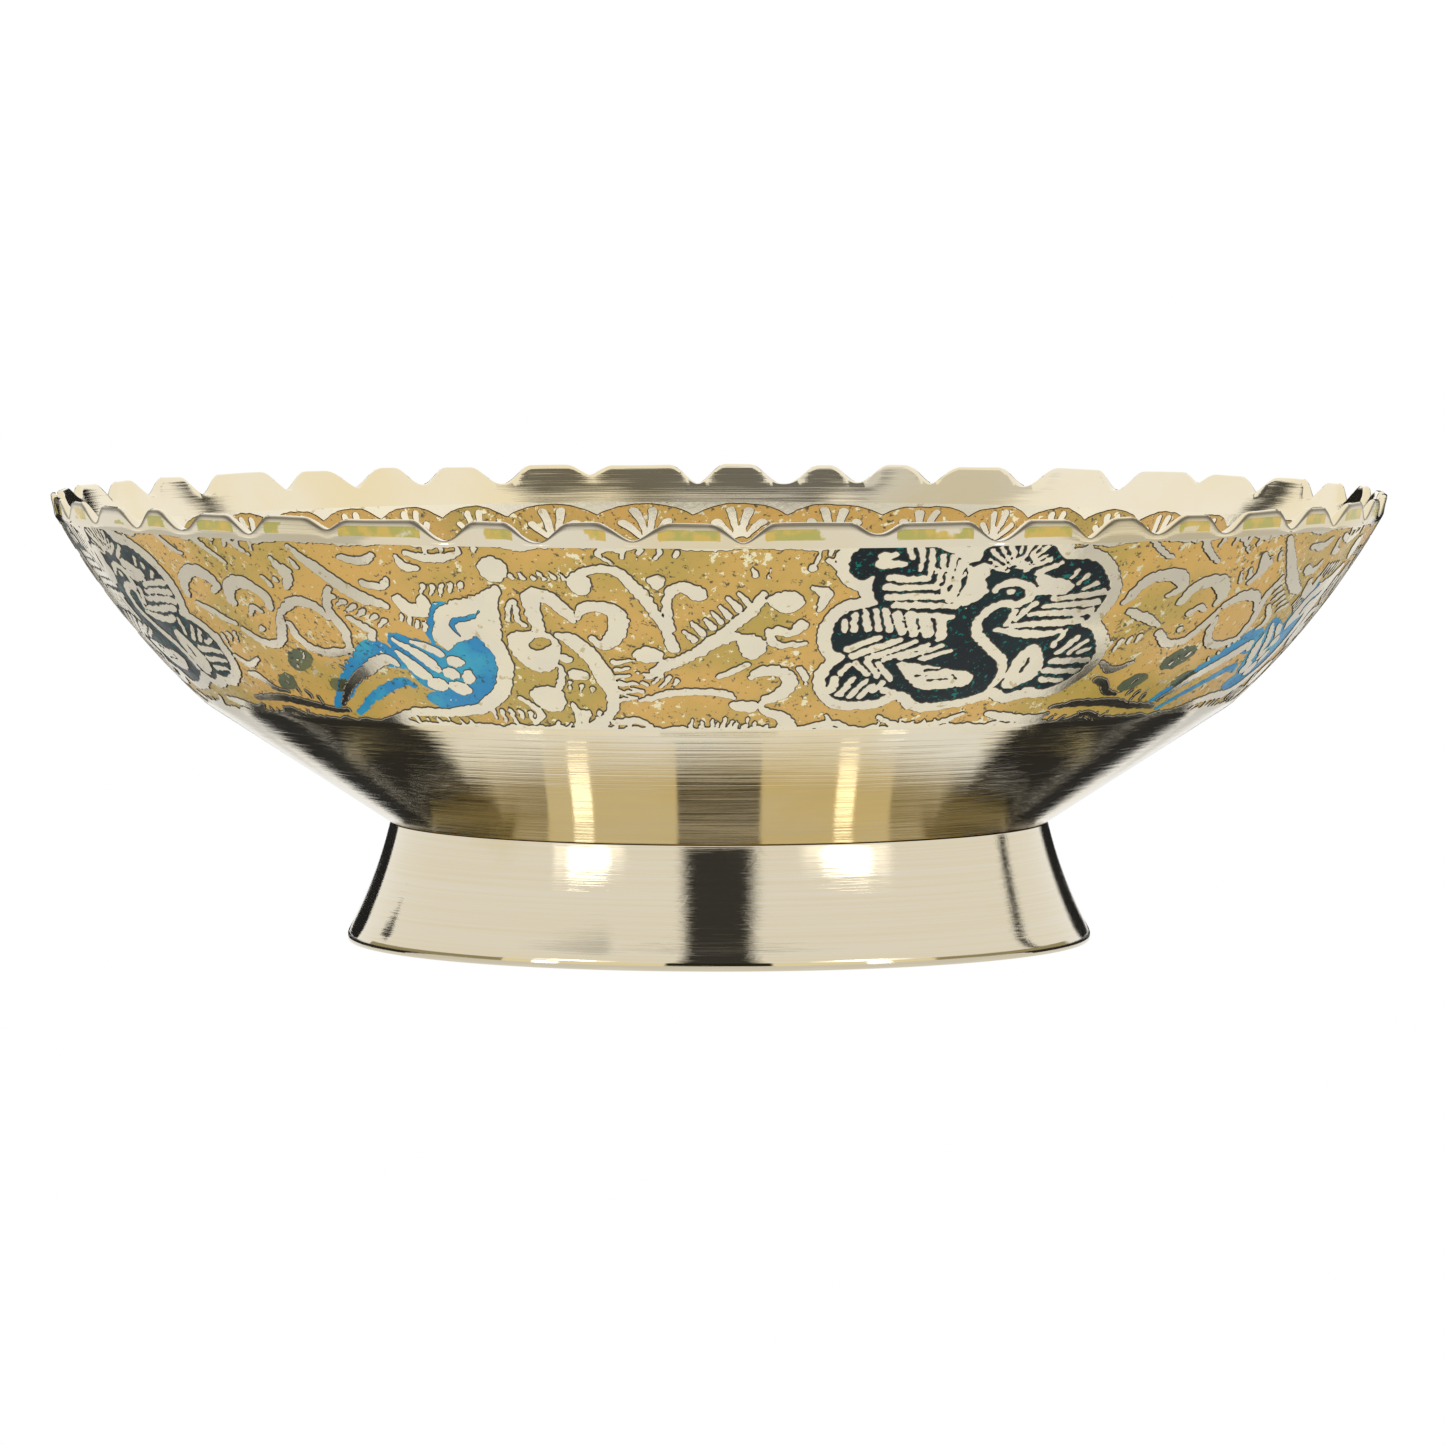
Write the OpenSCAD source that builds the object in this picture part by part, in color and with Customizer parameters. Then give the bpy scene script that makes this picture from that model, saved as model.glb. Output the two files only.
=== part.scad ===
// Footed brass bowl with a notched rim. Its wall is engraved outside and inside, and the
// cut-away ground is filled with coloured enamel. The foot is a separate flared ring, soldered on.

/* [Bowl] */
// Diameter over the rim's tabs
rim_d = 203.2; // [180:0.1:245]
// Height of the tab tops above the table
bowl_h = 68.3; // [60:0.1:82]
// Thickness of the brass
wall_t = 1.6; // [1.3:0.1:2.2]
// Diameter at the soft corner under the engraved wall
corner_d = 156.4; // [132:0.1:188]
// Height of that corner
corner_z = 36.5; // [31:0.1:43]
// Flat floor's share of the width at its own level, inside the foot
floor_share = 0.7; // [0.58:0.01:0.84]
// Height of the floor's underside
floor_z = 9.7; // [8.2:0.1:11.5]

/* [Rim] */
// Height of the upright band that the tabs are cut in
tab_h = 3.2; // [2.7:0.1:4]
// How far that band leans outwards over its height
tab_lean = 0.65; // [0.4:0.05:0.9]
// Radius of the round file that cuts the notches
file_r = 3.6; // [3:0.1:4.3]
// Depth of a full notch
notch_deep = 2.8; // [2:0.1:3.2]
// Depth of a light notch
notch_light = 1.5; // [1:0.1:2]

/* [Foot] */
// Diameter of the foot on the table
foot_d = 113.2; // [106:0.1:135]
// Diameter of the foot where it meets the bowl
seat_d = 100.2; // [83:0.1:108]
// Height where the foot's outside meets the bowl
seat_z = 18.2; // [15.5:0.1:21]
// Radius of the foot's flare
flare_r = 70; // [58:1:84]
// Thickness of the foot
foot_t = 2; // [1.6:0.1:2.4]
// Height of the upright edge at the foot's toe
toe_h = 1.3; // [1:0.1:1.6]
// Leg of the solder fillet inside the joint
solder_leg = 2.2; // [1.5:0.1:3]

/* [Enamel] */
// Depth of the cut-away ground
cut_deep = 0.5; // [0.4:0.05:0.6]
// How far the enamel stays below the brass
enamel_low = 0.15; // [0.1:0.05:0.2]
// Plain brass left above and below the outer engraving
plain_edge = 0.6; // [0.4:0.1:1]
// Plain brass left below the rim, inside
plain_inside = 6; // [5:0.5:9]
// Plain brass left above the corner, inside
plain_low = 3; // [2.5:0.5:4]
// Width of the brass border left round each figure
halo_w = 1.6; // [1.2:0.1:2]

/* [Hidden] */
// Widths of the tabs, in degrees round the rim, from the first notch anticlockwise
tab_widths = [
    7, 8.5, 8.5, 11, 8, 8, 9, 11, 10.5, 8.5, 7, 8, 9.5,
    8, 8.5, 7.5, 8, 8.5, 7.5, 8,
    10, 8.5, 9.5, 10, 9.5, 7, 7, 8, 10, 8.5, 8, 7, 8, 11,
    8.5, 8, 9, 8.5, 8, 9, 8, 8.5
];
first_notch = 212;    // where the first notch is, in degrees from +X
light_notches = [3, 8, 22, 29, 37];   // notches that the file only touched

// Where the middles of the figures are, in degrees from +X. Set out by eye, so not quite even
peacock_turns = [-67, 21, 113, 200];
bird_turns = [-120, -24, 66, 155];

// The figures below are set out for an engraved wall of this height and middle radius. On another
// wall they grow or shrink as far as both allow
figures_for_h = 27.4;
figures_for_r = 91.4;
block_share = 0.7;
// Lobes of a peacock among leaves: [across, up from the middle of the wall, radius]
peacock_lobes = [
    [-9.5, 4.5, 6.5], [-13, -3, 5.8], [-1.5, -2, 7.5], [4, 4.5, 6.5], [13, 1.5, 8.5]
];
// Lobes of a bird: breast, head, wing, rump and tail
bird_lobes = [
    [9, -2.5, 5], [9.5, 4, 3.2], [1.5, -4.5, 5.2], [-5.5, -5, 4.2], [-12.5, -6.8, 3.2]
];
// The flower on the floor, set out for a flat floor of radius 26. It grows and shrinks with the floor
floor_for = 26;
petals = 8;
petal_at = 11;        // distance of a petal's middle from the axis
petal_r = 3.4;
leaf_at = 18.5;       // distance of a leaf's middle from the axis
leaf_r = 2.2;
eye_r = 4.2;          // the flower's round middle
ground_r = 23;        // the enamelled disc that the flower is set in
petal_gap = 0.8;      // brass left round each petal, leaf and the middle

arc_steps = 10;
eps = 0.01;
far = 400;
$fn = 96;

rim_r = rim_d / 2;
tab_z = bowl_h - tab_h;               // where the wall bends into the upright band
tab_r = rim_r - tab_lean;
corner_r = corner_d / 2;
seat_r = seat_d / 2;
foot_r = foot_d / 2;

// The engraved wall is part of a sphere centred on the axis, through the corner and the bend
wall_zc = (tab_r ^ 2 - corner_r ^ 2 + tab_z ^ 2 - corner_z ^ 2) / (2 * (tab_z - corner_z));
wall_r = sqrt(corner_r ^ 2 + (corner_z - wall_zc) ^ 2);
band_top = tab_z - plain_edge;
band_low = corner_z + plain_edge;
mid_z = (band_low + band_top) / 2;
mid_r = wall_at(0, mid_z);
figure_scale = min((band_top - band_low) / figures_for_h, mid_r / figures_for_r);
inner_top = bowl_h - plain_inside;
inner_low = corner_z + plain_low;

// The cone under it, and the round blend from the cone to the floor
cone_a = atan((corner_z - seat_z) / (corner_r - seat_r));
meet_r = seat_r - (seat_z - floor_z) / tan(cone_a);
floor_r = floor_share * meet_r;
floor_scale = floor_r / floor_for;
blend_r = (meet_r - floor_r) / tan(cone_a / 2);

// Centre of the foot's flare, outside the foot
chord = [seat_r - foot_r, seat_z - toe_h];
chord_l = norm(chord);
flare_c = [foot_r, toe_h] + chord / 2
    + sqrt(flare_r ^ 2 - (chord_l / 2) ^ 2) * [chord.y, -chord.x] / chord_l;

// Sum of the first n values of a list
function sum(list, n) = n == 0 ? 0 : list[n - 1] + sum(list, n - 1);

function reversed(list) = [for (i = [len(list) - 1:-1:0]) list[i]];

// Radius of the engraved wall at height z, t below its outer surface
function wall_at(t, z) = sqrt((wall_r - t) ^ 2 - (wall_zc - z) ^ 2);

// Where the wall meets the cone, t below the outer surface
function corner_at(t) = let(
    along = [cos(cone_a), sin(cone_a)],
    p = [corner_r, corner_z - wall_zc] + t * [-sin(cone_a), cos(cone_a)],
    reach = p * along,
    side = reach < 0 ? -1 : 1,
    s = side * sqrt(reach ^ 2 - p * p + (wall_r - t) ^ 2) - reach
) p + s * along + [0, wall_zc];

// Surface of the bowl t below its outer one, from the tab tops down to the middle of the floor
function outline(t) = let(
    bend = [wall_at(t, tab_z), tab_z],
    corner = corner_at(t),
    a0 = atan2(bend.x, wall_zc - bend.y),
    a1 = atan2(corner.x, wall_zc - corner.y)
) concat(
    [[rim_r - t, bowl_h]],
    [for (i = [0:arc_steps]) let(a = a0 + (a1 - a0) * i / arc_steps)
        [0, wall_zc] + (wall_r - t) * [sin(a), -cos(a)]],
    [for (i = [0:arc_steps]) let(a = cone_a * (1 - i / arc_steps))
        [floor_r, floor_z + blend_r] + (blend_r - t) * [sin(a), -cos(a)]],
    [[0, floor_z + t]]
);

// Ring between two depths below the outside of the engraved wall, from z0 to z1
module wall_section(depth0, depth1, z0, z1) {
    intersection() {
        translate([0, wall_zc]) difference() {
            circle(r = wall_r - depth0, $fn = 360);
            circle(r = wall_r - depth1, $fn = 360);
        }
        translate([0, z0]) square([rim_r + wall_t, z1 - z0]);
    }
}

// Straight-sided block through the wall, of the lobes' outline, larger by grow. It starts inside the
// wall, but far enough out to stay clear of the next figure's
module figure_block(lobes, turn, grow) {
    from_r = block_share * corner_r;
    rotate([0, 0, turn]) translate([from_r, 0, mid_z]) rotate([90, 0, 90])
        linear_extrude(rim_r + wall_t - from_r)
            for (lobe = lobes)
                translate([lobe.x, lobe.y] * figure_scale) circle(r = lobe.z * figure_scale + grow);
}

// Everything between two depths of the outer wall, with the figures' brass borders left out
module outer_ground(depth0, depth1) {
    difference() {
        rotate_extrude($fn = 360) wall_section(depth0, depth1, band_low, band_top);
        for (at = peacock_turns) figure_block(peacock_lobes, at, halo_w);
        for (at = bird_turns) figure_block(bird_lobes, at, halo_w);
    }
}

// One figure between two depths of the outer wall
module figure(lobes, turn, depth0, depth1) {
    intersection() {
        rotate_extrude($fn = 360) wall_section(depth0, depth1, band_low, band_top);
        figure_block(lobes, turn, 0);
    }
}

// The ring of enamel inside, where depths are counted from the inner face
module inner_ground(depth0, depth1) {
    rotate_extrude($fn = 360)
        wall_section(wall_t - depth1, wall_t - depth0, inner_low, inner_top);
}

// Things set round the floor, each a round disc
module floor_ring(at, r, count, turn) {
    for (i = [0:count - 1]) rotate([0, 0, turn + i * 360 / count]) translate([at, 0]) circle(r = r);
}

module petal_discs(grow) {
    circle(r = eye_r + grow);
    floor_ring(petal_at, petal_r + grow, petals, 0);
}

module leaf_discs(grow) {
    floor_ring(leaf_at, leaf_r + grow, petals, 180 / petals);
}

module floor_ground_disc() {
    difference() {
        circle(r = ground_r);
        petal_discs(petal_gap);
        leaf_discs(petal_gap);
    }
}

// Lays a floor shape between two depths below the floor's upper face
module on_floor(depth0, depth1) {
    translate([0, 0, floor_z + wall_t - depth1]) linear_extrude(depth1 - depth0)
        scale([floor_scale, floor_scale]) children();
}

// Round notches filed across the rim
module notches() {
    count = len(tab_widths);
    reach = 4 * wall_t;
    for (i = [0:count - 1]) {
        deep = len(search(i, light_notches)) > 0 ? notch_light : notch_deep;
        rotate([0, 0, first_notch + sum(tab_widths, i)])
            translate([rim_r - reach, 0, bowl_h - deep + file_r])
                rotate([0, 90, 0]) cylinder(r = file_r, h = 2 * reach);
    }
}

// Room for every piece of enamel
module pockets() {
    outer_ground(-wall_t, cut_deep);
    inner_ground(-wall_t, cut_deep);
    for (at = peacock_turns) figure(peacock_lobes, at, -wall_t, cut_deep);
    for (at = bird_turns) figure(bird_lobes, at, -wall_t, cut_deep);
    on_floor(-wall_t, cut_deep) {
        floor_ground_disc();
        petal_discs(0);
        leaf_discs(0);
    }
}

module bowl() {
    color("khaki") difference() {
        rotate_extrude($fn = 360) polygon(concat(outline(0), reversed(outline(wall_t))));
        notches();
        pockets();
    }
}

// Section of everything below the bowl's underside, out past the foot
module under_bowl() {
    polygon(concat(
        [[0, 0], [far, 0], [far, seat_z + (far - seat_r) * tan(cone_a)]],
        [for (p = outline(0)) if (p.y <= corner_z) p]
    ));
}

module foot_section() {
    intersection() {
        translate(flare_c) difference() {
            circle(r = flare_r + foot_t, $fn = 720);
            circle(r = flare_r, $fn = 720);
        }
        under_bowl();
        square([foot_r, seat_z]);
    }
}

module foot_ring() {
    color("darkkhaki") rotate_extrude($fn = 360) foot_section();
}

// Fillet of solder in the corner between the foot's inside and the bowl
module solder_fillet() {
    inner_corner = seat_r - foot_t;
    color("silver") rotate_extrude($fn = 360) intersection() {
        difference() {
            translate([inner_corner - solder_leg, 0]) square([solder_leg + foot_t, seat_z]);
            translate(flare_c) circle(r = flare_r + foot_t, $fn = 720);
        }
        under_bowl();
        polygon([
            [inner_corner - solder_leg, seat_z],
            [inner_corner - solder_leg, seat_z - (foot_t + solder_leg) * tan(cone_a) - eps],
            [inner_corner + foot_t, seat_z - 2 * solder_leg - foot_t * tan(cone_a)],
            [inner_corner + foot_t, seat_z]
        ]);
    }
}

module outer_ground_enamel() {
    color("goldenrod") outer_ground(enamel_low, cut_deep);
}

module inner_ground_enamel() {
    color("goldenrod") inner_ground(enamel_low, cut_deep);
}

module floor_ground_enamel() {
    color("goldenrod") on_floor(enamel_low, cut_deep) floor_ground_disc();
}

module floor_petals_enamel() {
    color("steelblue") on_floor(enamel_low, cut_deep) petal_discs(0);
}

module floor_leaves_enamel() {
    color("darkgreen") on_floor(enamel_low, cut_deep) leaf_discs(0);
}

bowl();
foot_ring();
solder_fillet();
outer_ground_enamel();
inner_ground_enamel();
floor_ground_enamel();
floor_petals_enamel();
floor_leaves_enamel();
for (i = [0:3]) {
    color("darkslategray") figure(peacock_lobes, peacock_turns[i], enamel_low, cut_deep);
    color("steelblue") figure(bird_lobes, bird_turns[i], enamel_low, cut_deep);
}
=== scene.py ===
"""Footed brass bowl with a notched rim, engraved and filled with coloured enamel.

The bowl and its foot are spun, the rim is filed into tabs, and the wall is engraved. The engraver's
lines are drawn flat, in millimetres along and up the wall, then wrapped round it. What is left
standing is brass, and the ground between is filled with enamel.
"""

import math

import bpy
import numpy as np
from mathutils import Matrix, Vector


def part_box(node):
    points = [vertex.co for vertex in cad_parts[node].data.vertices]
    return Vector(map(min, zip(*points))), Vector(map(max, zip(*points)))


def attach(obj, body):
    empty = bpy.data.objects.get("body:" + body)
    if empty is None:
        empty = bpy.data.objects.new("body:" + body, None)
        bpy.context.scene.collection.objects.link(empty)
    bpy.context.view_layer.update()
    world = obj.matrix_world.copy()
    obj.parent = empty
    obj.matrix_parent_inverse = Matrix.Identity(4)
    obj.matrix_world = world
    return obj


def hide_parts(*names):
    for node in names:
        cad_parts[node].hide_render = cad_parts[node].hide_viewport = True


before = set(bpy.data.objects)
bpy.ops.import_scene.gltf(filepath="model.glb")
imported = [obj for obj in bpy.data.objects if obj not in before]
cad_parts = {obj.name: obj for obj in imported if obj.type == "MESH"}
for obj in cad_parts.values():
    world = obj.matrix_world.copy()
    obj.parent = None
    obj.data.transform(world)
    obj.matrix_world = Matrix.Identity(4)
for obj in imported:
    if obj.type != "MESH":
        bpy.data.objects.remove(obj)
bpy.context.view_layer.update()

MM = 0.001    # a millimetre, in the frame's metres


# ---------------------------------------------------------------- sizes, in millimetres

def box_mm(node):
    low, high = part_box(node)
    return Vector(low) / MM, Vector(high) / MM


bowl_low, bowl_high = box_mm("bowl")
outer_low, outer_high = box_mm("outer_ground_enamel")
inner_low, inner_high = box_mm("inner_ground_enamel")
foot_high = box_mm("foot_ring")[1]
floor_high = box_mm("floor_ground_enamel")[1]

RIM_R = bowl_high.x
RIM_Z = bowl_high.z
FLOOR_Z = bowl_low.z
FOOT_R = foot_high.x
SEAT_Z = foot_high.z
BAND_LOW = outer_low.z
BAND_TOP = outer_high.z
INNER_LOW = inner_low.z
INNER_TOP = inner_high.z
GROUND_R = floor_high.x

WALL_T = 1.6          # thickness of the brass
TAB_H = 3.2           # height of the upright band that the tabs are cut in
TAB_LEAN = 0.65       # how far that band leans outwards
CORNER_Z = 36.5       # soft corner under the engraved wall
CORNER_R = 78.2
SEAT_R = 50.1         # the foot's top, where it meets the bowl
FLOOR_R = 25.9        # the flat floor
FOOT_T = 2.0
TOE_H = 1.3           # upright edge at the foot's toe
FLARE_R = 70          # radius of the foot's flare
LIP_T = 1.3           # thickness of the tabs near their tops
CUT = 0.5             # depth that the engraver cuts the ground away
LOW = 0.15            # how far the enamel stays below the brass
GROUND_BACK = CUT - 0.02    # back of the ochre enamel
PLATE_BACK = CUT - 0.15     # back of the raised brass, sunk in the enamel
PATCH_TOP = LOW - 0.04      # the coloured enamel stands a little over the ochre
PATCH_BACK = CUT - 0.1

TAB_Z = RIM_Z - TAB_H
TAB_R = RIM_R - TAB_LEAN
WALL_ZC = (TAB_R**2 - CORNER_R**2 + TAB_Z**2 - CORNER_Z**2) / (2 * (TAB_Z - CORNER_Z))
WALL_R = math.hypot(CORNER_R, CORNER_Z - WALL_ZC)
CORNER_A = math.atan2(CORNER_R, WALL_ZC - CORNER_Z)
CONE_A = math.atan((CORNER_Z - SEAT_Z) / (CORNER_R - SEAT_R))
MEET_R = SEAT_R - (SEAT_Z - FLOOR_Z) / math.tan(CONE_A)
BLEND_R = (MEET_R - FLOOR_R) / math.tan(CONE_A / 2)
PAINTED_SHADE_LINE = RIM_Z - 0.5    # height of a line of painted shade under the tabs' tops
INNER_BEND_Z = TAB_Z - 0.4  # where the inside bends into the tabs
INNER_R = WALL_R - WALL_T

# Angles up the wall, from straight down at its centre, where the engraving begins and ends
BAND_LOW_A = math.acos((WALL_ZC - BAND_LOW) / WALL_R)
BAND_TOP_A = math.acos((WALL_ZC - BAND_TOP) / WALL_R)
INNER_LOW_A = math.acos((WALL_ZC - INNER_LOW) / INNER_R)
INNER_TOP_A = math.acos((WALL_ZC - INNER_TOP) / INNER_R)
BAND_V0 = (BAND_LOW_A - CORNER_A) * WALL_R
BAND_V1 = (BAND_TOP_A - CORNER_A) * WALL_R
INNER_HIGH = (INNER_TOP_A - INNER_LOW_A) * INNER_R

# Widths of the tabs in degrees, from the first notch anticlockwise, and the notches filed lightly
TAB_WIDTHS = [
    7, 8.5, 8.5, 11, 8, 8, 9, 11, 10.5, 8.5, 7, 8, 9.5,
    8, 8.5, 7.5, 8, 8.5, 7.5, 8,
    10, 8.5, 9.5, 10, 9.5, 7, 7, 8, 10, 8.5, 8, 7, 8, 11,
    8.5, 8, 9, 8.5, 8, 9, 8, 8.5,
]
FIRST_NOTCH = 212
LIGHT_NOTCHES = [3, 8, 22, 29, 37]
NOTCH_DEEP = 2.8
NOTCH_LIGHT = 1.5
NOTCH_HALF = 5.1          # half the width of a notch at the rim
NOTCH_HALF_LIGHT = 3.7

# Middles of the figures in degrees from +X
PEACOCK_TURNS = [-67, 21, 113, 200]
BIRD_TURNS = [-120, -24, 66, 155]

# The engraving is set out along the wall in millimetres at this radius, with a bird and a peacock
# in each quarter, at these places along it
SET_OUT_R = 90
PERIOD = 2 * math.pi * SET_OUT_R / 4
BIRD_U = -47
PEACOCK_U = 36.5
ARCHES = 12               # arches in a quarter of the inner frieze
ARCH_H = 8.2              # height of that frieze

CELL = 0.3     # fineness of the engraving
RIM_STEPS = 1200


# ---------------------------------------------------------------- helpers

def clear_selection():
    if bpy.context.mode != "OBJECT":
        bpy.ops.object.mode_set(mode="OBJECT")
    bpy.ops.object.select_all(action="DESELECT")


def activate(obj):
    clear_selection()
    obj.select_set(True)
    bpy.context.view_layer.objects.active = obj
    return obj


def new_mesh(name, verts, edges, faces):
    mesh = bpy.data.meshes.new(name)
    mesh.from_pydata(verts, edges, faces)
    obj = bpy.data.objects.new(name, mesh)
    bpy.context.scene.collection.objects.link(obj)
    return obj


def smooth_by_angle(obj, degrees):
    activate(obj)
    bpy.ops.object.shade_smooth_by_angle(angle=math.radians(degrees))


def spin(name, section, steps, closed=True):
    """A turned piece: its section, [(radius, height) in mm], is spun once round the axis."""
    verts = [(r * MM, 0, z * MM) for r, z in section]
    edges = [(i, i + 1) for i in range(len(verts) - 1)]
    if closed:
        edges.append((len(verts) - 1, 0))
    obj = activate(new_mesh(name, verts, edges, []))
    bpy.ops.object.mode_set(mode="EDIT")
    bpy.ops.mesh.select_all(action="SELECT")
    bpy.ops.mesh.spin(steps=steps, angle=2 * math.pi, center=(0, 0, 0), axis=(0, 0, 1))
    bpy.ops.mesh.select_all(action="SELECT")
    bpy.ops.mesh.remove_doubles(threshold=1e-6)
    bpy.ops.mesh.normals_make_consistent(inside=False)
    bpy.ops.object.mode_set(mode="OBJECT")
    return obj


def arc(cx, cz, r, a0, a1, steps):
    """Points of an arc. Angles are measured from straight down, anticlockwise."""
    angles = np.linspace(a0, a1, steps + 1)
    return [(cx + r * math.sin(a), cz - r * math.cos(a)) for a in angles]


def carry(obj, name, values):
    """Keeps a value for each point of the mesh, which its material reads."""
    held = obj.data.attributes.new(name, "FLOAT", "POINT")
    held.data.foreach_set("value", np.array(values, np.float32))


def finish_piece(obj, material, slot, *nodes):
    obj.data.materials.clear()
    obj.data.materials.append(material)
    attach(obj, "root")
    if nodes:
        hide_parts(*nodes)


# ---------------------------------------------------------------- drawing the engraving

def smooth_line(points, closed=False, steps=6):
    """Points along a smooth curve through the given ones."""
    p = np.array(points, float)
    if closed:
        p = np.vstack([p[-1], p, p[0], p[1]])
    else:
        p = np.vstack([2 * p[0] - p[1], p, 2 * p[-1] - p[-2]])
    out = []
    for a, b, c, d in zip(p[:-3], p[1:-2], p[2:-1], p[3:]):
        for t in np.arange(steps) / steps:
            out.append(0.5 * (2 * b + (c - a) * t + (2 * a - 5 * b + 4 * c - d) * t**2
                              + (3 * b - a - 3 * c + d) * t**3))
    if not closed:
        out.append(p[-2])
    return np.array(out)


def turned(points, middle, degrees):
    a = math.radians(degrees)
    x, y = np.array(points, float).T
    return np.column_stack([middle[0] + x * math.cos(a) - y * math.sin(a),
                            middle[1] + x * math.sin(a) + y * math.cos(a)])


def beside(x, y, x0, y0, x1, y1):
    """How far along a segment each point lies, from 0 to 1, and how far off it."""
    dx, dy = x1 - x0, y1 - y0
    t = np.clip(((x - x0) * dx + (y - y0) * dy) / (dx * dx + dy * dy + 1e-9), 0, 1)
    return t, np.hypot(x - x0 - t * dx, y - y0 - t * dy)


FAR = 50.0    # distance given to places that nothing is drawn near


class Sheet:
    """A flat sheet of points to draw on. A drawing is a field of distances, below nought inside."""

    def __init__(self, u0, u1, v0, v1, cell, wobble, seed):
        self.nu = int(round((u1 - u0) / cell)) + 1
        self.nv = int(round((v1 - v0) / cell)) + 1
        self.u = np.linspace(u0, u1, self.nu)
        self.v = np.linspace(v0, v1, self.nv)
        self.U, self.V = np.meshgrid(self.u, self.v, indexing="ij")
        self.DU = self.U + wobble * self.waver(seed, 7)
        self.DV = self.V + wobble * self.waver(seed + 50, 7)

    def waver(self, seed, size):
        """Soft seeded waviness between about -1 and 1, of that size in mm."""
        r = np.random.RandomState(seed)
        total = np.zeros_like(self.U)
        lap = 2 * math.pi / (4 * PERIOD)
        for _ in range(7):
            a = r.uniform(0, 2 * math.pi)
            k = 2 * math.pi / (size * r.uniform(0.6, 1.6))
            along = lap * round(k * math.cos(a) / lap)    # whole waves round the bowl, so the sheets join
            total += np.sin(along * self.U + k * math.sin(a) * self.V + r.uniform(0, 6.28))
        return total / 3

    def blank(self):
        return np.full(self.U.shape, FAR)

    def block(self, low, high):
        """The part of the sheet between two corners."""
        i = np.searchsorted(self.u, [low[0], high[0]])
        j = np.searchsorted(self.v, [low[1], high[1]])
        return (slice(max(i[0] - 1, 0), i[1] + 1), slice(max(j[0] - 1, 0), j[1] + 1))

    def shifts(self, low, high):
        """Whole periods by which a shape has to move to fall on the sheet."""
        first = math.ceil((self.u[0] - high[0]) / PERIOD)
        last = math.floor((self.u[-1] - low[0]) / PERIOD)
        return [n * PERIOD for n in range(first, last + 1)]

    def patches(self, low, high):
        """The parts of the sheet that a shape falls on, each with its points moved to the shape."""
        for shift in self.shifts(low, high):
            part = self.block((low[0] + shift, low[1]), (high[0] + shift, high[1]))
            x, y = self.DU[part] - shift, self.DV[part]
            if x.size:
                yield part, x, y

    def stroke(self, field, points, radii):
        """Adds a stroke with one radius for each point."""
        line = np.column_stack([points, radii])
        if len(points) > 2:
            line = smooth_line(line)
        margin = max(radii) + 2
        for part, x, y in self.patches(line[:, :2].min(0) - margin, line[:, :2].max(0) + margin):
            d = np.full(x.shape, FAR)
            for (x0, y0, r0), (x1, y1, r1) in zip(line[:-1], line[1:]):
                t, off = beside(x, y, x0, y0, x1, y1)
                d = np.minimum(d, off - r0 - t * (r1 - r0))
            field[part] = np.minimum(field[part], d)

    def strokes(self, field, table):
        for points, radii in table:
            self.stroke(field, points, radii)

    def outline(self, field, points):
        """Adds the inside of a closed outline."""
        line = smooth_line(points, closed=True)
        for part, x, y in self.patches(line.min(0) - 3, line.max(0) + 3):
            d = np.full(x.shape, FAR)
            inside = np.zeros(x.shape, bool)
            for (x0, y0), (x1, y1) in zip(line, np.roll(line, -1, 0)):
                d = np.minimum(d, beside(x, y, x0, y0, x1, y1)[1])
                if y0 != y1:
                    inside ^= ((y0 > y) != (y1 > y)) & (x < (x1 - x0) * (y - y0) / (y1 - y0) + x0)
            field[part] = np.minimum(field[part], np.where(inside, -d, d))

    def oval(self, field, middle, half_u, half_v, degrees=0):
        a = np.linspace(0, 2 * math.pi, 12, endpoint=False)
        upright = np.column_stack([half_u * np.cos(a), half_v * np.sin(a)])
        self.outline(field, turned(upright, middle, degrees))

    def comb(self, field, start, end, count, lean, length, radius):
        """Adds a row of short tapering teeth from start to end, each pointing along lean degrees."""
        tip = np.array([math.cos(math.radians(lean)), math.sin(math.radians(lean))])
        for t in np.linspace(0, 1, count):
            p = np.array(start) + t * (np.array(end) - np.array(start))
            q = p + tip * length * (0.95 + 0.2 * math.sin(5 * p[0] + 3 * p[1]))
            self.stroke(field, [p, q], [radius, radius * 0.35])

    def combs(self, field, table):
        for row in table:
            self.comb(field, *row)


def without(field, other):
    """A drawing with another cut out of it."""
    return np.maximum(field, -other)


def both(field, other):
    """Two drawings together."""
    return np.minimum(field, other)


# ---------------------------------------------------------------- the figures and vines

PEACOCK_OUTLINE = [
    (17.4, 32.5), (17.6, 35), (20, 36.5), (23.5, 37), (27, 36.6), (30.5, 35.2), (33.6, 33.5),
    (34.8, 33.6), (35.6, 35.4), (38, 36.7), (41, 37), (44, 35.8), (46, 33.8), (49, 33.4), (51.8, 31.4),
    (53.6, 28.5), (53.9, 25.5), (53, 22.8), (52, 21.2), (54.4, 19.7), (56.2, 17.3), (56.6, 14.5),
    (55.6, 11.6), (53.4, 9.4), (50.6, 8.6), (48.6, 9.2), (47.6, 8.4), (45.4, 7.8), (43.4, 9.2), (41, 8),
    (38, 6.9), (34.5, 6.4), (31.5, 6.8), (29.6, 8.8), (27.6, 8.8), (25, 7.3), (21.5, 7), (18.6, 7.8),
    (16.8, 10), (16.5, 12.8), (18.2, 15.3), (18.6, 16.4), (16.8, 17.8), (16.1, 20.5), (16.8, 23.5),
    (19, 25.4), (21.8, 26.1), (21.6, 27.4), (20.8, 29.3), (20.6, 31), (19.2, 30.3),
]

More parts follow.
